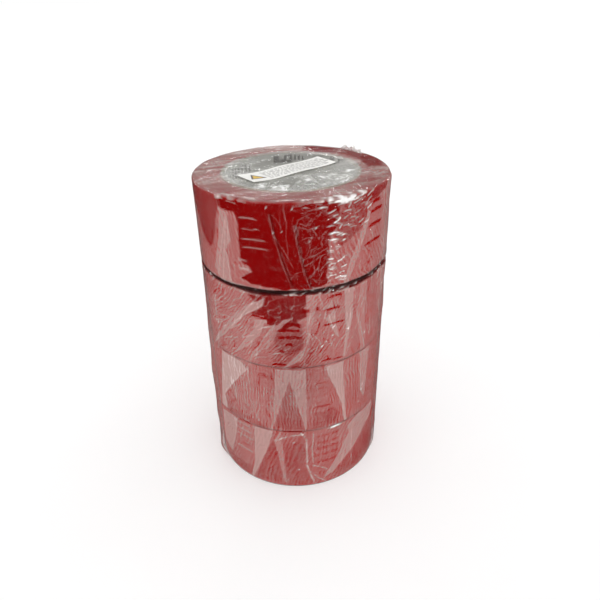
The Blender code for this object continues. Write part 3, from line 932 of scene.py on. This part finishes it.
def tape_material():
    """Glossy red vinyl: its laps show as fine rings on the faces, and the outside has faint orange peel."""
    n = material_nodes("red_tape")
    place = n.place()
    x, y = n.parts(place)[:2]
    radius = n.math("SQRT", n.plus(n.times(x, x), n.times(y, y)))
    ring_place = n.add("ShaderNodeCombineXYZ", {0: radius}).outputs[0]
    laps = n.noise(ring_place, 2600, 3, 0.7)
    bands = n.noise(ring_place, 420, 2)
    peel = n.noise(n.scaled(place, (1, 1, 0.5)), 600, 2)
    normal_z = n.parts(n.add("ShaderNodeNewGeometry").outputs["Normal"])[2]
    on_face = n.spread(n.math("ABSOLUTE", normal_z), 0.5, 0.9)
    shade = n.times(n.spread(laps, 0.3, 0.7, 0.55, 1.0), n.spread(bands, 0.35, 0.65, 0.86, 1.08))
    face = n.mix(shade, (0.22, 0.004, 0.004), (0.46, 0.012, 0.011))
    side = n.mix(n.spread(peel, 0.3, 0.7), (0.465, 0.0006, 0.0008), (0.50, 0.0008, 0.001))
    height = n.plus(n.times(laps, on_face), n.times(peel, 0.12))
    roughness = n.plus(0.18, n.times(on_face, 0.34))
    return n.done(n.principled(n.mix(on_face, side, face), roughness, n.bumped(height, 0.00012, 0.7), 0.09))


def board_material():
    """Grey-brown paperboard with short fibres and mottling."""
    n = material_nodes("core_board")
    place = n.place()
    fibres = n.noise(n.scaled(place, (1, 1, 2.5)), 1500, 4, 0.65, 0.6)
    mottle = n.spread(n.noise(place, 160), 0.3, 0.75, 0.0, 0.35)
    colour = n.mix(n.spread(fibres, 0.3, 0.7), (0.30, 0.235, 0.165), (0.50, 0.41, 0.30))
    colour = n.mix(mottle, colour, (0.56, 0.50, 0.41))
    return n.done(n.principled(colour, 0.85, n.bumped(fibres, 0.00012, 0.6), 0.2))


def liner_material():
    """White liner paper of the core with a plain printed pattern of blocks."""
    n = material_nodes("core_liner")
    place = n.place()
    fibres = n.noise(place, 1400, 3, 0.6)
    worn = n.noise(place, 500, 3, 0.6)
    paper = n.mix(n.spread(fibres, 0.3, 0.7), (0.84, 0.83, 0.78), (0.92, 0.91, 0.86))
    ink = n.mix(n.spread(worn, 0.35, 0.7), (0.050, 0.032, 0.030), (0.090, 0.062, 0.058))
    colour = n.mix(n.times(n.attribute("ink"), n.spread(worn, 0.2, 0.55, 0.75, 1.0)), paper, ink)
    return n.done(n.principled(colour, 0.62, n.bumped(fibres, 0.00005, 0.5), 0.3))


LABEL_INKS = (("rules", (0.20, 0.19, 0.18)), ("amber", (0.78, 0.50, 0.055)), ("dark", (0.050, 0.018, 0.022)))


def label_material():
    """White label paper with grey rules and one plain amber mark."""
    n = material_nodes("label_paper")
    fibres = n.noise(n.place(), 1800, 3, 0.6)
    colour = n.mix(n.spread(fibres, 0.3, 0.7), (0.84, 0.83, 0.79), (0.90, 0.89, 0.86))
    for name, ink in LABEL_INKS:
        colour = n.mix(n.attribute(name), colour, ink)
    return n.done(n.principled(colour, 0.5, n.bumped(fibres, 0.00004, 0.4), 0.3))


# ---- Mesh helpers ----------------------------------------------------------------------------
def add_object(name, data):
    obj = bpy.data.objects.new(name, data)
    bpy.context.scene.collection.objects.link(obj)
    return obj


def new_mesh(name, points, faces, attributes):
    """A mesh of points in mm, with a number at each point under each attribute's name."""
    mesh = bpy.data.meshes.new(name)
    mesh.from_pydata((points * MM).tolist(), [], faces)
    for key, values in attributes.items():
        layer = mesh.attributes.new(key, "FLOAT", "POINT")
        layer.data.foreach_set("value", values.reshape(-1).astype(np.float32))
    return mesh


def place_mesh(mesh, material, body, replaces, sharp=None):
    mesh.validate()
    mesh.shade_smooth()
    if sharp is not None:
        mesh.set_sharp_from_angle(angle=math.radians(sharp))
    mesh.materials.append(material)
    obj = add_object(mesh.name, mesh)
    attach(obj, body)
    if replaces:
        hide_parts(*replaces)
    return obj


def grid_faces(rows, columns, join_rows, join_columns):
    """Four corners for each cell of a grid. Joined rows or columns run round to the first one."""
    index = np.arange(rows * columns).reshape(rows, columns)
    corners = [np.roll(index, shift, (0, 1)) for shift in ((0, 0), (0, -1), (-1, -1), (-1, 0))]
    cells = np.stack(corners, -1)[:rows if join_rows else rows - 1, :columns if join_columns else columns - 1]
    return cells.reshape(-1, 4)


def pinched(values, columns):
    """A grid's values in one list, with its last row drawn together into one."""
    return np.concatenate([values[:-columns], values[-columns:].mean(0, keepdims=True)])


def grid_object(name, points, material, attributes, closed=True, body="film", replaces=(),
                pole=False):
    """A grid of (rows, columns, 3) points in mm as a smooth mesh. With pole, the last row is one point."""
    rows, columns = points.shape[:2]
    points = points.reshape(-1, 3)
    attributes = {key: values.reshape(-1) for key, values in attributes.items() if key != "lift"}
    faces = grid_faces(rows - pole, columns, False, closed).tolist()
    if pole:
        rim = np.arange(columns) + (rows - 2) * columns
        faces += np.stack([rim, np.roll(rim, -1), np.full(columns, (rows - 1) * columns)], -1).tolist()
        points = pinched(points, columns)
        attributes = {key: pinched(values, columns) for key, values in attributes.items()}
    return place_mesh(new_mesh(name, points, faces, attributes), material, body, replaces)


def rounded_outline(inner, outer, low, high, radius, longest, steps=4):
    """A rectangle in (r, z) with rounded corners, anticlockwise, with no side longer than longest."""
    outline = []
    corners = (
        (outer - radius, low + radius, -90), (outer - radius, high - radius, 0),
        (inner + radius, high - radius, 90), (inner + radius, low + radius, 180),
    )
    for r, z, start in corners:
        for i in range(steps + 1):
            angle = math.radians(start + 90 * i / steps)
            outline.append((r + radius * math.cos(angle), z + radius * math.sin(angle)))
    full = []
    for a, b in zip(outline, outline[1:] + outline[:1]):
        parts = max(1, math.ceil(math.dist(a, b) / longest))
        full += [(a[0] + (b[0] - a[0]) * i / parts, a[1] + (b[1] - a[1]) * i / parts) for i in range(parts)]
    return np.array(full)


def swept_points(r, angles, z):
    """A loop of (r, z) at each angle from the x axis. Either of them may change with the angle."""
    turns = angles[:, None]
    return np.stack(np.broadcast_arrays(r * np.cos(turns), r * np.sin(turns), z), -1).reshape(-1, 3)


def turned(name, loop, columns, material, body, replaces, outer_shift=None, attribute=None):
    """A closed loop of (r, z) turned round the axis. outer_shift(angle) moves the outside in or out."""
    angles = np.arange(columns) * math.tau / columns
    r = np.repeat(loop[:, 0][None], columns, 0)
    z = np.repeat(loop[:, 1][None], columns, 0)
    if outer_shift is not None:
        r = r + outer_shift(angles)[:, None] * smooth(loop[:, 0], TAPE_R - 1.0, TAPE_R - 0.3)[None]
    attributes = {} if attribute is None else attribute(np.repeat(angles[:, None], len(loop), 1), r, z)
    faces = grid_faces(columns, len(loop), True, True)[:, [0, 3, 2, 1]].tolist()
    mesh = new_mesh(name, swept_points(r, angles, z), faces, attributes)
    return place_mesh(mesh, material, body, replaces, sharp=50)


# ---- Rolls -----------------------------------------------------------------------------------
END_AZIMUTHS = {1: 95.0, 2: 150.0, 3: 120.0, 4: 70.0}
END_SWEEP = 50.0
LAP_THICKNESS = 0.16
END_COLUMNS = 60
END_ROWS = 26
END_INSIDE = 0.05
END_LIFT = 0.30
OUT_OF_ROUND = 0.05
TAPE_COLUMNS = 400
PLY_COLUMNS = 240
LINER_COLUMNS = 480
# Small gaps and overlaps that keep the layers of a roll apart, in mm.
TAPE_GAP = 0.25
PLY_OVERLAP = 0.12
PLY_GAP = 0.05
PLY_DROP = 0.1
PRINT_BLOCKS = ((-11.2, 1.0), (27.3, 39.0), (66.0, 78.0), (-88.0, -76.0))
# Groups of bars: first and last place round the liner, first and last place below its rim, spacing.
PRINT_BARS = (
    (2.2, 10.4, 1.2, 4.9, 2.5), (40.5, 58.0, 1.2, 4.9, 2.5), (-47.0, -27.0, 1.6, 8.6, 3.4),
    (80.0, 100.0, 1.2, 4.9, 2.5),
)
PRINT_PITCH = 27.0
PRINT_SLOPE = 0.03


def block_print(angle, r, z, top):
    """Plain blocks and bars in rows that sink to the left round the liner, only on its inner face."""
    across = (np.mod(math.pi / 2 - angle + math.pi, math.tau) - math.pi) * BORE_R
    row = np.mod(top - z + PRINT_SLOPE * (across + 5), PRINT_PITCH)
    ink = np.zeros(z.shape)

    def rectangle(left, right, first, last):
        return between(across, left, right, 0.2, 0.2) * between(row, first, last, 0.2, 0.2)

    for left, right in PRINT_BLOCKS:
        ink = np.maximum(ink, rectangle(left, right, 1.0, 5.9))
        ink -= 0.75 * rectangle(left + 3.6, left + 7.0, 1.0, 3.8)
        ink -= 0.75 * rectangle(left + 8.6, left + 10.4, 2.2, 4.8)
    for left, right, first, last, spacing in PRINT_BARS:
        for i, start in enumerate(np.arange(left, right - 1, spacing)):
            ink = np.maximum(ink, rectangle(start, start + 0.6 * spacing, first + 0.5 * (i % 3), last))
    return {"ink": unit(ink) * (r < BORE_R + 0.15)}


def tape_end_piece(number, material):
    """The last lap of tape, whose cut end stands a little off the roll."""
    low, high = ROLL_Z[number]
    angles = np.radians(END_AZIMUTHS[number] + END_SWEEP * np.linspace(0.01, 0.94, END_COLUMNS))
    lifted = END_LIFT * smooth(np.linspace(0, 1, END_COLUMNS), 0.90, 1.0)
    up = np.linspace(low + END_INSIDE, high - END_INSIDE, END_ROWS + 1)
    inside = TAPE_R - LAP_THICKNESS
    r = np.concatenate([[inside], np.full(END_ROWS + 1, TAPE_R), np.full(END_ROWS, inside)])
    z = np.concatenate([up[:1], up, up[:0:-1]])
    points = swept_points(r[None] + lifted[:, None], angles, z[None])
    faces = grid_faces(END_COLUMNS, len(r), False, True)[:, [0, 3, 2, 1]].tolist()
    faces.append(list(range(len(r))))
    faces.append(list(reversed(range(len(points) - len(r), len(points)))))
    mesh = new_mesh(f"tape_end_{number}", points, faces, {})
    place_mesh(mesh, material, f"roll_{number}", (f"roll_{number}_tape_end",), sharp=35)


def build_rolls():
    red, board, liner = tape_material(), board_material(), liner_material()
    for number in ROLLS:
        low, high = ROLL_Z[number]
        body = f"roll_{number}"
        start = END_AZIMUTHS[number]

        def shift(angle):
            """Sinks the winding under its last lap, and leaves it a little out of round."""
            turn = np.mod(np.degrees(angle) - start, 360)
            sunk = (turn > 0.2) & (turn < END_SWEEP * 0.955)
            return np.where(sunk, -LAP_THICKNESS - 0.02, 0.0) + OUT_OF_ROUND * np.sin(2 * angle + number)

        def printed(angle, r, z):
            return block_print(angle, r, z, high)

        outline = rounded_outline(OUTER_PLY_R + TAPE_GAP, TAPE_R, low, high, 0.35, 2.4)
        turned(f"tape_{number}", outline, TAPE_COLUMNS, red, body, (f"{body}_tape_winding",),
               outer_shift=shift)
        tape_end_piece(number, red)
        for ply, inner, outer, top in (
            ("outer", INNER_PLY_R + PLY_GAP, OUTER_PLY_R + PLY_OVERLAP, high - PLY_DROP),
            ("inner", LINER_OUTER_R + PLY_GAP, INNER_PLY_R - 0.02, high),
        ):
            outline = rounded_outline(inner, outer, low, top, 0.2, 3.0)
            turned(f"core_{ply}_ply_{number}", outline, PLY_COLUMNS, board, body,
                   (f"{body}_core_{ply}_ply",))
        outline = rounded_outline(BORE_R, LINER_OUTER_R, low, high, 0.12, 0.8, steps=2)
        turned(f"core_liner_{number}", outline, LINER_COLUMNS, liner, body, (f"{body}_core_liner",),
               attribute=printed)


# ---- Film ------------------------------------------------------------------------------------
def film_azimuths():
    """Azimuths of the grid's columns, once round. They are closer together on the front."""
    front = np.linspace(-FRONT_HALF, FRONT_HALF, FRONT_COLUMNS, endpoint=False)
    back = np.linspace(FRONT_HALF, 360 - FRONT_HALF, BACK_COLUMNS, endpoint=False)
    return np.concatenate([front, back])


def back_fields(azimuth, height):
    """Pleats round the back, set out by chance from a fixed seed."""
    chance = random.Random(12)
    u = round_mm(azimuth)
    lift, milk = np.zeros(u.shape), np.zeros(u.shape)
    for number in ROLLS:
        low, high = ROLL_Z[number]
        for _ in range(8):
            centre = chance.choice((chance.uniform(84, 170), chance.uniform(-170, -84)))
            wide = chance.uniform(3, 8)
            lean = chance.uniform(-14, 14)
            reach = chance.uniform(0.55, 0.95) * (high - low)
            wide_level, thin_level = (high, high - reach) if chance.random() < 0.6 else (low, low + reach)
            wedge = [(centre - wide, wide_level), (centre + wide, wide_level), (centre + lean, thin_level)]
            shape = inside_outline(u, height, on_side(wedge), 0.6)
            milk = np.maximum(milk, shape * chance.uniform(0.12, 0.22))
            lift += PLEAT_LIFT * shape
        for _ in range(2):
            centre = chance.choice((chance.uniform(90, 165), chance.uniform(-165, -90)))
            level = chance.uniform(low + 6, high - 6)
            for step in range(chance.randint(2, 4)):
                shape = bump(azimuth, centre, 4.5) * bump(height, level - 4.6 * step, 0.8) * (height > low)
                milk -= 0.18 * shape
    return lift, milk


def film_shape(azimuths, levels):
    """Points and fields of the film's side on a grid."""
    grid_a, grid_z = np.meshgrid((azimuths + 180) % 360 - 180, levels)
    fields = side_fields(grid_a, grid_z)
    back_lift, back_milk = back_fields(grid_a, grid_z)
    fields["lift"] = fields["lift"] + back_lift
    fields["milk"] = np.clip(fields["milk"] + back_milk, 0, MOST_MILK)
    return round_points(FILM_R + fields["lift"], grid_a, grid_z), fields


def build_film():
    material = film_material()
    azimuths = film_azimuths()
    edges = [SIDE_HIGH] + GROOVES + [SIDE_LOW]
    for number in ROLLS:
        points, fields = film_shape(azimuths, np.linspace(edges[number], edges[number - 1], BAND_ROWS))
        grid_object(f"film_side_{number}", points, material, fields, replaces=("film_sleeve",))
        if number == ROLLS[0]:
            build_top(material, azimuths, {key: values[-1] for key, values in fields.items()})
        if number == ROLLS[-1]:
            build_bottom(material, azimuths, {key: values[0] for key, values in fields.items()})
    return material


def build_top(material, azimuths, rim):
    """The film over the top, joined to the side by a rounded rim."""
    annulus = np.linspace(FLAT_R, BORE_R - 4, ANNULUS_ROWS)
    mouth = np.linspace(BORE_R - 4.6, 0, MOUTH_ROWS)
    flat = round_points(np.concatenate([annulus, mouth])[:, None], azimuths, 0)
    fields = top_fields(flat[..., 0], flat[..., 1])
    flat[..., 2] = TOP_Z + fields["lift"]
    turn = np.arange(RIM_ROWS)[:, None] / RIM_ROWS
    bend = {key: rim[key] * (1 - turn) + fields[key][0] * turn for key in fields}
    reach = RIM_R + bend["lift"]
    angle = turn * math.pi / 2
    points = round_points(FLAT_R + reach * np.cos(angle), azimuths, SIDE_HIGH + reach * np.sin(angle))
    points = np.concatenate([points, flat])
    joined = {key: np.concatenate([bend[key], fields[key]]) for key in FILM_FIELDS}
    grid_object("film_top", points, material, joined, replaces=("film_top_end",), pole=True)


def build_bottom(material, azimuths, rim):
    """The film under the pack: it turns in at the rim and lies flat on the floor."""
    turn = np.arange(RIM_ROWS + 1)[:, None] / RIM_ROWS
    angle = turn * math.pi / 2
    reach = RIM_R + rim["lift"] * (1 - turn)
    bend = round_points(FLAT_R + reach * np.cos(angle), azimuths, SIDE_LOW - RIM_R * np.sin(angle))
    flat = round_points(np.linspace(FLAT_R - 1.5, 0, BOTTOM_ROWS)[:, None], azimuths, 0)
    fold = ridges(flat, 12, 31)
    flat[..., 2] = BOTTOM_Z + 0.18 * fold
    milk = np.concatenate([rim["milk"] * (1 - turn) + 0.35 * turn, 0.32 + 0.12 * fold])
    grid_object("film_bottom", np.concatenate([bend, flat]), material, plain_fields(milk), body="roll_4",
                replaces=("film_bottom_end",), pole=True)


def build_seam(material):
    """The welded bead down the back, with the crimped fin of film beside it."""
    across = np.linspace(-SEAM_HALF, SEAM_HALF, SEAM_COLUMNS)
    grid_u, grid_z = np.meshgrid(across, np.linspace(SIDE_LOW, SIDE_HIGH, SEAM_ROWS))
    crimp = 0.12 * np.sin(grid_z * 3.1) * bump(grid_u, 0, 0.9)
    stand = 0.35 + 0.55 * bump(grid_u, 0.3, 0.5) + crimp
    drift = 0.5 * np.sin(grid_z / 23) + 0.25 * np.sin(grid_z / 7.7)
    azimuth = SEAM_AZIMUTH + np.degrees((grid_u + drift) / FILM_R)
    points = round_points(FILM_R + side_fields(azimuth, grid_z)["lift"] + stand, azimuth, grid_z)
    fields = plain_fields(0.24 + 0.18 * bump(grid_u, 0.3, 0.6))
    grid_object("film_seam", points, material, fields, closed=False, replaces=("film_seal",))


def build_ear(material):
    """The crumpled corner of film left where the seam meets the top: a folded fan that stands on the rim."""
    along, up = np.meshgrid(np.linspace(0, 1, EAR_COLUMNS), np.linspace(0, 1, EAR_ROWS))
    azimuth = EAR_AZIMUTH + EAR_SWEEP * (along - 0.5)
    crumple = wobble(np.stack([along * 30, up * 9, 0 * along], -1), 4.0, 41)
    folds = np.sin(along * 34 + 3 * crumple)
    r = FILM_R - EAR_INSET + EAR_FOLD * (folds + crumple) * (0.25 + up) - EAR_LEAN * up
    tall = EAR_HEIGHT * (0.55 + 0.45 * np.sin(along * math.pi) ** 0.6) * (1 + 0.3 * np.sin(along * 17 + 1))
    points = round_points(r, azimuth, TOP_Z + 0.1 + up * np.minimum(tall, EAR_LIMIT))
    fields = plain_fields(0.50 + 0.35 * unit(folds) + 0.15 * crumple)
    grid_object("film_corner_ear", points, material, fields, closed=False, replaces=("film_ear",))


# ---- Label -----------------------------------------------------------------------------------
LABEL_WAVE = 0.4
LABEL_PITCH = 40.0
LABEL_THICKNESS = 0.12
LABEL_LIFT = 0.2
LABEL_RISE = 0.55
LABEL_COLUMNS = 260
LABEL_ROWS = 72
# The printed lines: how many, and how far from the label's two ends they start and stop.
LABEL_LINES = 7
PRINT_START = 13.5
PRINT_END = 3.0
# The mark's place from the label's left end and above its middle line.
MARK_PLACE = (7.2, 0.6)


def label_print(s, t):
    """Rules, amber and dark on the label, s mm along it and t mm across it from its centre."""
    length, width = LABEL_SIZE
    chance = random.Random(5)
    rules = np.zeros(s.shape)
    pitch = (width - 4.4) / LABEL_LINES
    for i in range(LABEL_LINES):
        level = -width / 2 + 2.6 + pitch * (i + 0.4)
        x = PRINT_START - length / 2
        while x < length / 2 - PRINT_END:
            word = chance.uniform(0.9, 3.4)
            shape = between(s, x, x + word - 0.12, 0.12, 0.12)
            rules = np.maximum(rules, shape * bump(t, level, 0.5) * chance.uniform(0.7, 1.0))
            x += word + chance.uniform(0.5, 1.0)
    mark_s, mark_t = s + length / 2 - MARK_PLACE[0], t - MARK_PLACE[1]
    outer = inside_outline(mark_s, mark_t, [(-5.2, -4.4), (5.2, -4.4), (0, 4.8)], 0.2)
    amber = inside_outline(mark_s, mark_t, [(-3.5, -3.4), (3.5, -3.4), (0, 2.9)], 0.2)
    return {"rules": rules, "amber": amber, "dark": unit(outer - amber)}


def build_label():
    """A wavy paper strip that lies on the film over the core's mouth."""
    length, width = LABEL_SIZE
    s = np.linspace(-length / 2, length / 2, LABEL_COLUMNS)
    t = np.linspace(-width / 2, width / 2, LABEL_ROWS)
    s, t = np.meshgrid(s, t)
    x = LABEL_CENTRE[0] + s * math.cos(LABEL_YAW) - t * math.sin(LABEL_YAW)
    y = LABEL_CENTRE[1] + s * math.sin(LABEL_YAW) + t * math.cos(LABEL_YAW)
    wave = LABEL_WAVE * (1 + np.cos(math.tau * (s - 4) / LABEL_PITCH))
    rise = LABEL_RISE * smooth(s, 5, 30) + 0.05 * np.sin(t / 2.7 + s / 9)
    z = TOP_Z - mouth_sag(np.hypot(x, y)) + LABEL_LIFT + wave + rise + LABEL_THICKNESS
    obj = grid_object("label", np.stack([x, y, z], -1), label_material(), label_print(s, t), closed=False,
                      replaces=("film_label",))
    thick = obj.modifiers.new("thickness", "SOLIDIFY")
    thick.thickness = LABEL_THICKNESS * MM
    thick.offset = -1


# ---- Stage, light and camera -----------------------------------------------------------------
FLOOR_HALF = 150.0
FLOOR_GLOW = 0.2
# The studio's brightness: at its walls' foot, at its ceiling, and as it shows in reflections.
WALL_LIGHT = 1.55
CEILING_LIGHT = 0.75
REFLECTED_LIGHT = 0.04
OVERHEAD_LIGHT = 0.3
OVERHEAD_SPREAD = 60
# (name, azimuth, elevation, distance, width, height, brightness) of the softboxes, in degrees and metres
STRIPS = (
    ("right_strip", 50, 22, 1.3, 0.05, 0.9, 70),
    ("left_strip", -62, 24, 1.4, 0.04, 0.7, 18),
    ("back_strip", 184, 34, 1.3, 0.5, 0.06, 22),
    ("rear_left_strip", -128, 20, 1.3, 0.05, 0.9, 45),
    ("rear_right_strip", 118, 20, 1.3, 0.05, 0.9, 45),
)
STRIP_TARGET = Vector((0, 0, 0.11))
# The camera's distance before the pack's axis and height above its top, in metres, and its turns in degrees.
CAMERA_SCALE = 1.0105
CAMERA_DISTANCE = 0.3028 * CAMERA_SCALE
CAMERA_ABOVE = 0.08635 * CAMERA_SCALE
CAMERA_PITCH, CAMERA_PAN, CAMERA_ROLL = 29.95, 0.71, -1.21
CAMERA_LENS = 31.52


def build_stage():
    """A pale floor that lifts the shadows a little with its own glow."""
    corners = [(-FLOOR_HALF, -FLOOR_HALF, 0), (FLOOR_HALF, -FLOOR_HALF, 0), (FLOOR_HALF, FLOOR_HALF, 0),
               (-FLOOR_HALF, FLOOR_HALF, 0)]
    mesh = bpy.data.meshes.new("floor")
    mesh.from_pydata(corners, [], [(0, 1, 2, 3)])
    n = material_nodes("pale_floor")
    colour = n.mix(n.spread(n.noise(n.place(), 6, 2), 0.3, 0.7), (0.80, 0.80, 0.80), (0.82, 0.82, 0.82))
    glow = {"Emission Color": WHITE, "Emission Strength": FLOOR_GLOW}
    mesh.materials.append(n.done(n.principled(colour, 0.9, None, 0.0, **glow)))
    floor = add_object("floor", mesh)
    floor.visible_glossy = False


def build_strip(name, azimuth, elevation, distance, width, tall, radiance):
    """A softbox that faces the middle of the pack. It shows in reflections only."""
    a, e = math.radians(azimuth), math.radians(elevation)
    away = Vector((math.sin(a) * math.cos(e), -math.cos(a) * math.cos(e), math.sin(e)))
    data = bpy.data.lights.new(name, "AREA")
    data.shape = "RECTANGLE"
    data.size = width
    data.size_y = tall
    data.energy = radiance * math.pi * width * tall
    strip = add_object(name, data)
    strip.location = STRIP_TARGET + away * distance
    strip.rotation_euler = away.to_track_quat("Z", "Y").to_euler()
    strip.visible_diffuse = False


def build_world():
    """A white studio that looks dark in reflections. Its walls are brighter than its ceiling."""
    world = bpy.data.worlds.new("studio")
    bpy.context.scene.world = world
    n = Nodes(world, "ShaderNodeOutputWorld")
    ray = n.add("ShaderNodeLightPath").outputs
    height = n.parts(n.add("ShaderNodeTexCoord").outputs["Generated"])[2]
    ramp = {0: height, 1: 0.0, 2: 0.9, 3: WALL_LIGHT, 4: CEILING_LIGHT}
    strength = n.add("ShaderNodeMapRange", ramp).outputs[0]
    walls = n.add("ShaderNodeBackground", {"Color": WHITE, "Strength": strength}).outputs[0]
    dark = n.add("ShaderNodeBackground", {"Color": (REFLECTED_LIGHT,) * 3}).outputs[0]
    white = n.add("ShaderNodeBackground", {"Color": WHITE}).outputs[0]
    n.done(n.blend(ray["Is Camera Ray"], n.blend(ray["Is Glossy Ray"], walls, dark), white))


def build_light():
    build_world()
    sun = bpy.data.lights.new("overhead", "SUN")
    sun.energy = OVERHEAD_LIGHT
    sun.angle = math.radians(OVERHEAD_SPREAD)
    overhead = add_object("overhead", sun)
    overhead.rotation_euler = (math.radians(20), math.radians(8), 0)
    overhead.visible_glossy = False
    for strip in STRIPS:
        build_strip(*strip)


def build_camera():
    """Stands before the pack, a little above its top, and looks down at it."""
    pitch, pan, roll = math.radians(CAMERA_PITCH), math.radians(CAMERA_PAN), math.radians(CAMERA_ROLL)
    forward = Vector((math.sin(pan) * math.cos(pitch), math.cos(pan) * math.cos(pitch), -math.sin(pitch)))
    right = Vector((math.cos(pan), -math.sin(pan), 0))
    up = right.cross(forward)
    camera_x = right * math.cos(roll) + up * math.sin(roll)
    camera_y = up * math.cos(roll) - right * math.sin(roll)
    data = bpy.data.cameras.new("camera")
    data.lens = CAMERA_LENS
    data.sensor_width = 36
    data.clip_start = 0.01
    data.clip_end = 400
    camera = add_object("camera", data)
    turn = Matrix((camera_x, camera_y, -forward)).transposed().to_4x4()
    camera.matrix_world = Matrix.Translation((0, -CAMERA_DISTANCE, TOP_Z * MM + CAMERA_ABOVE)) @ turn
    bpy.context.scene.camera = camera


def main():
    bpy.context.scene.view_settings.view_transform = "Standard"
    build_rolls()
    film = build_film()
    build_seam(film)
    build_ear(film)
    build_label()
    build_stage()
    build_light()
    build_camera()


main()
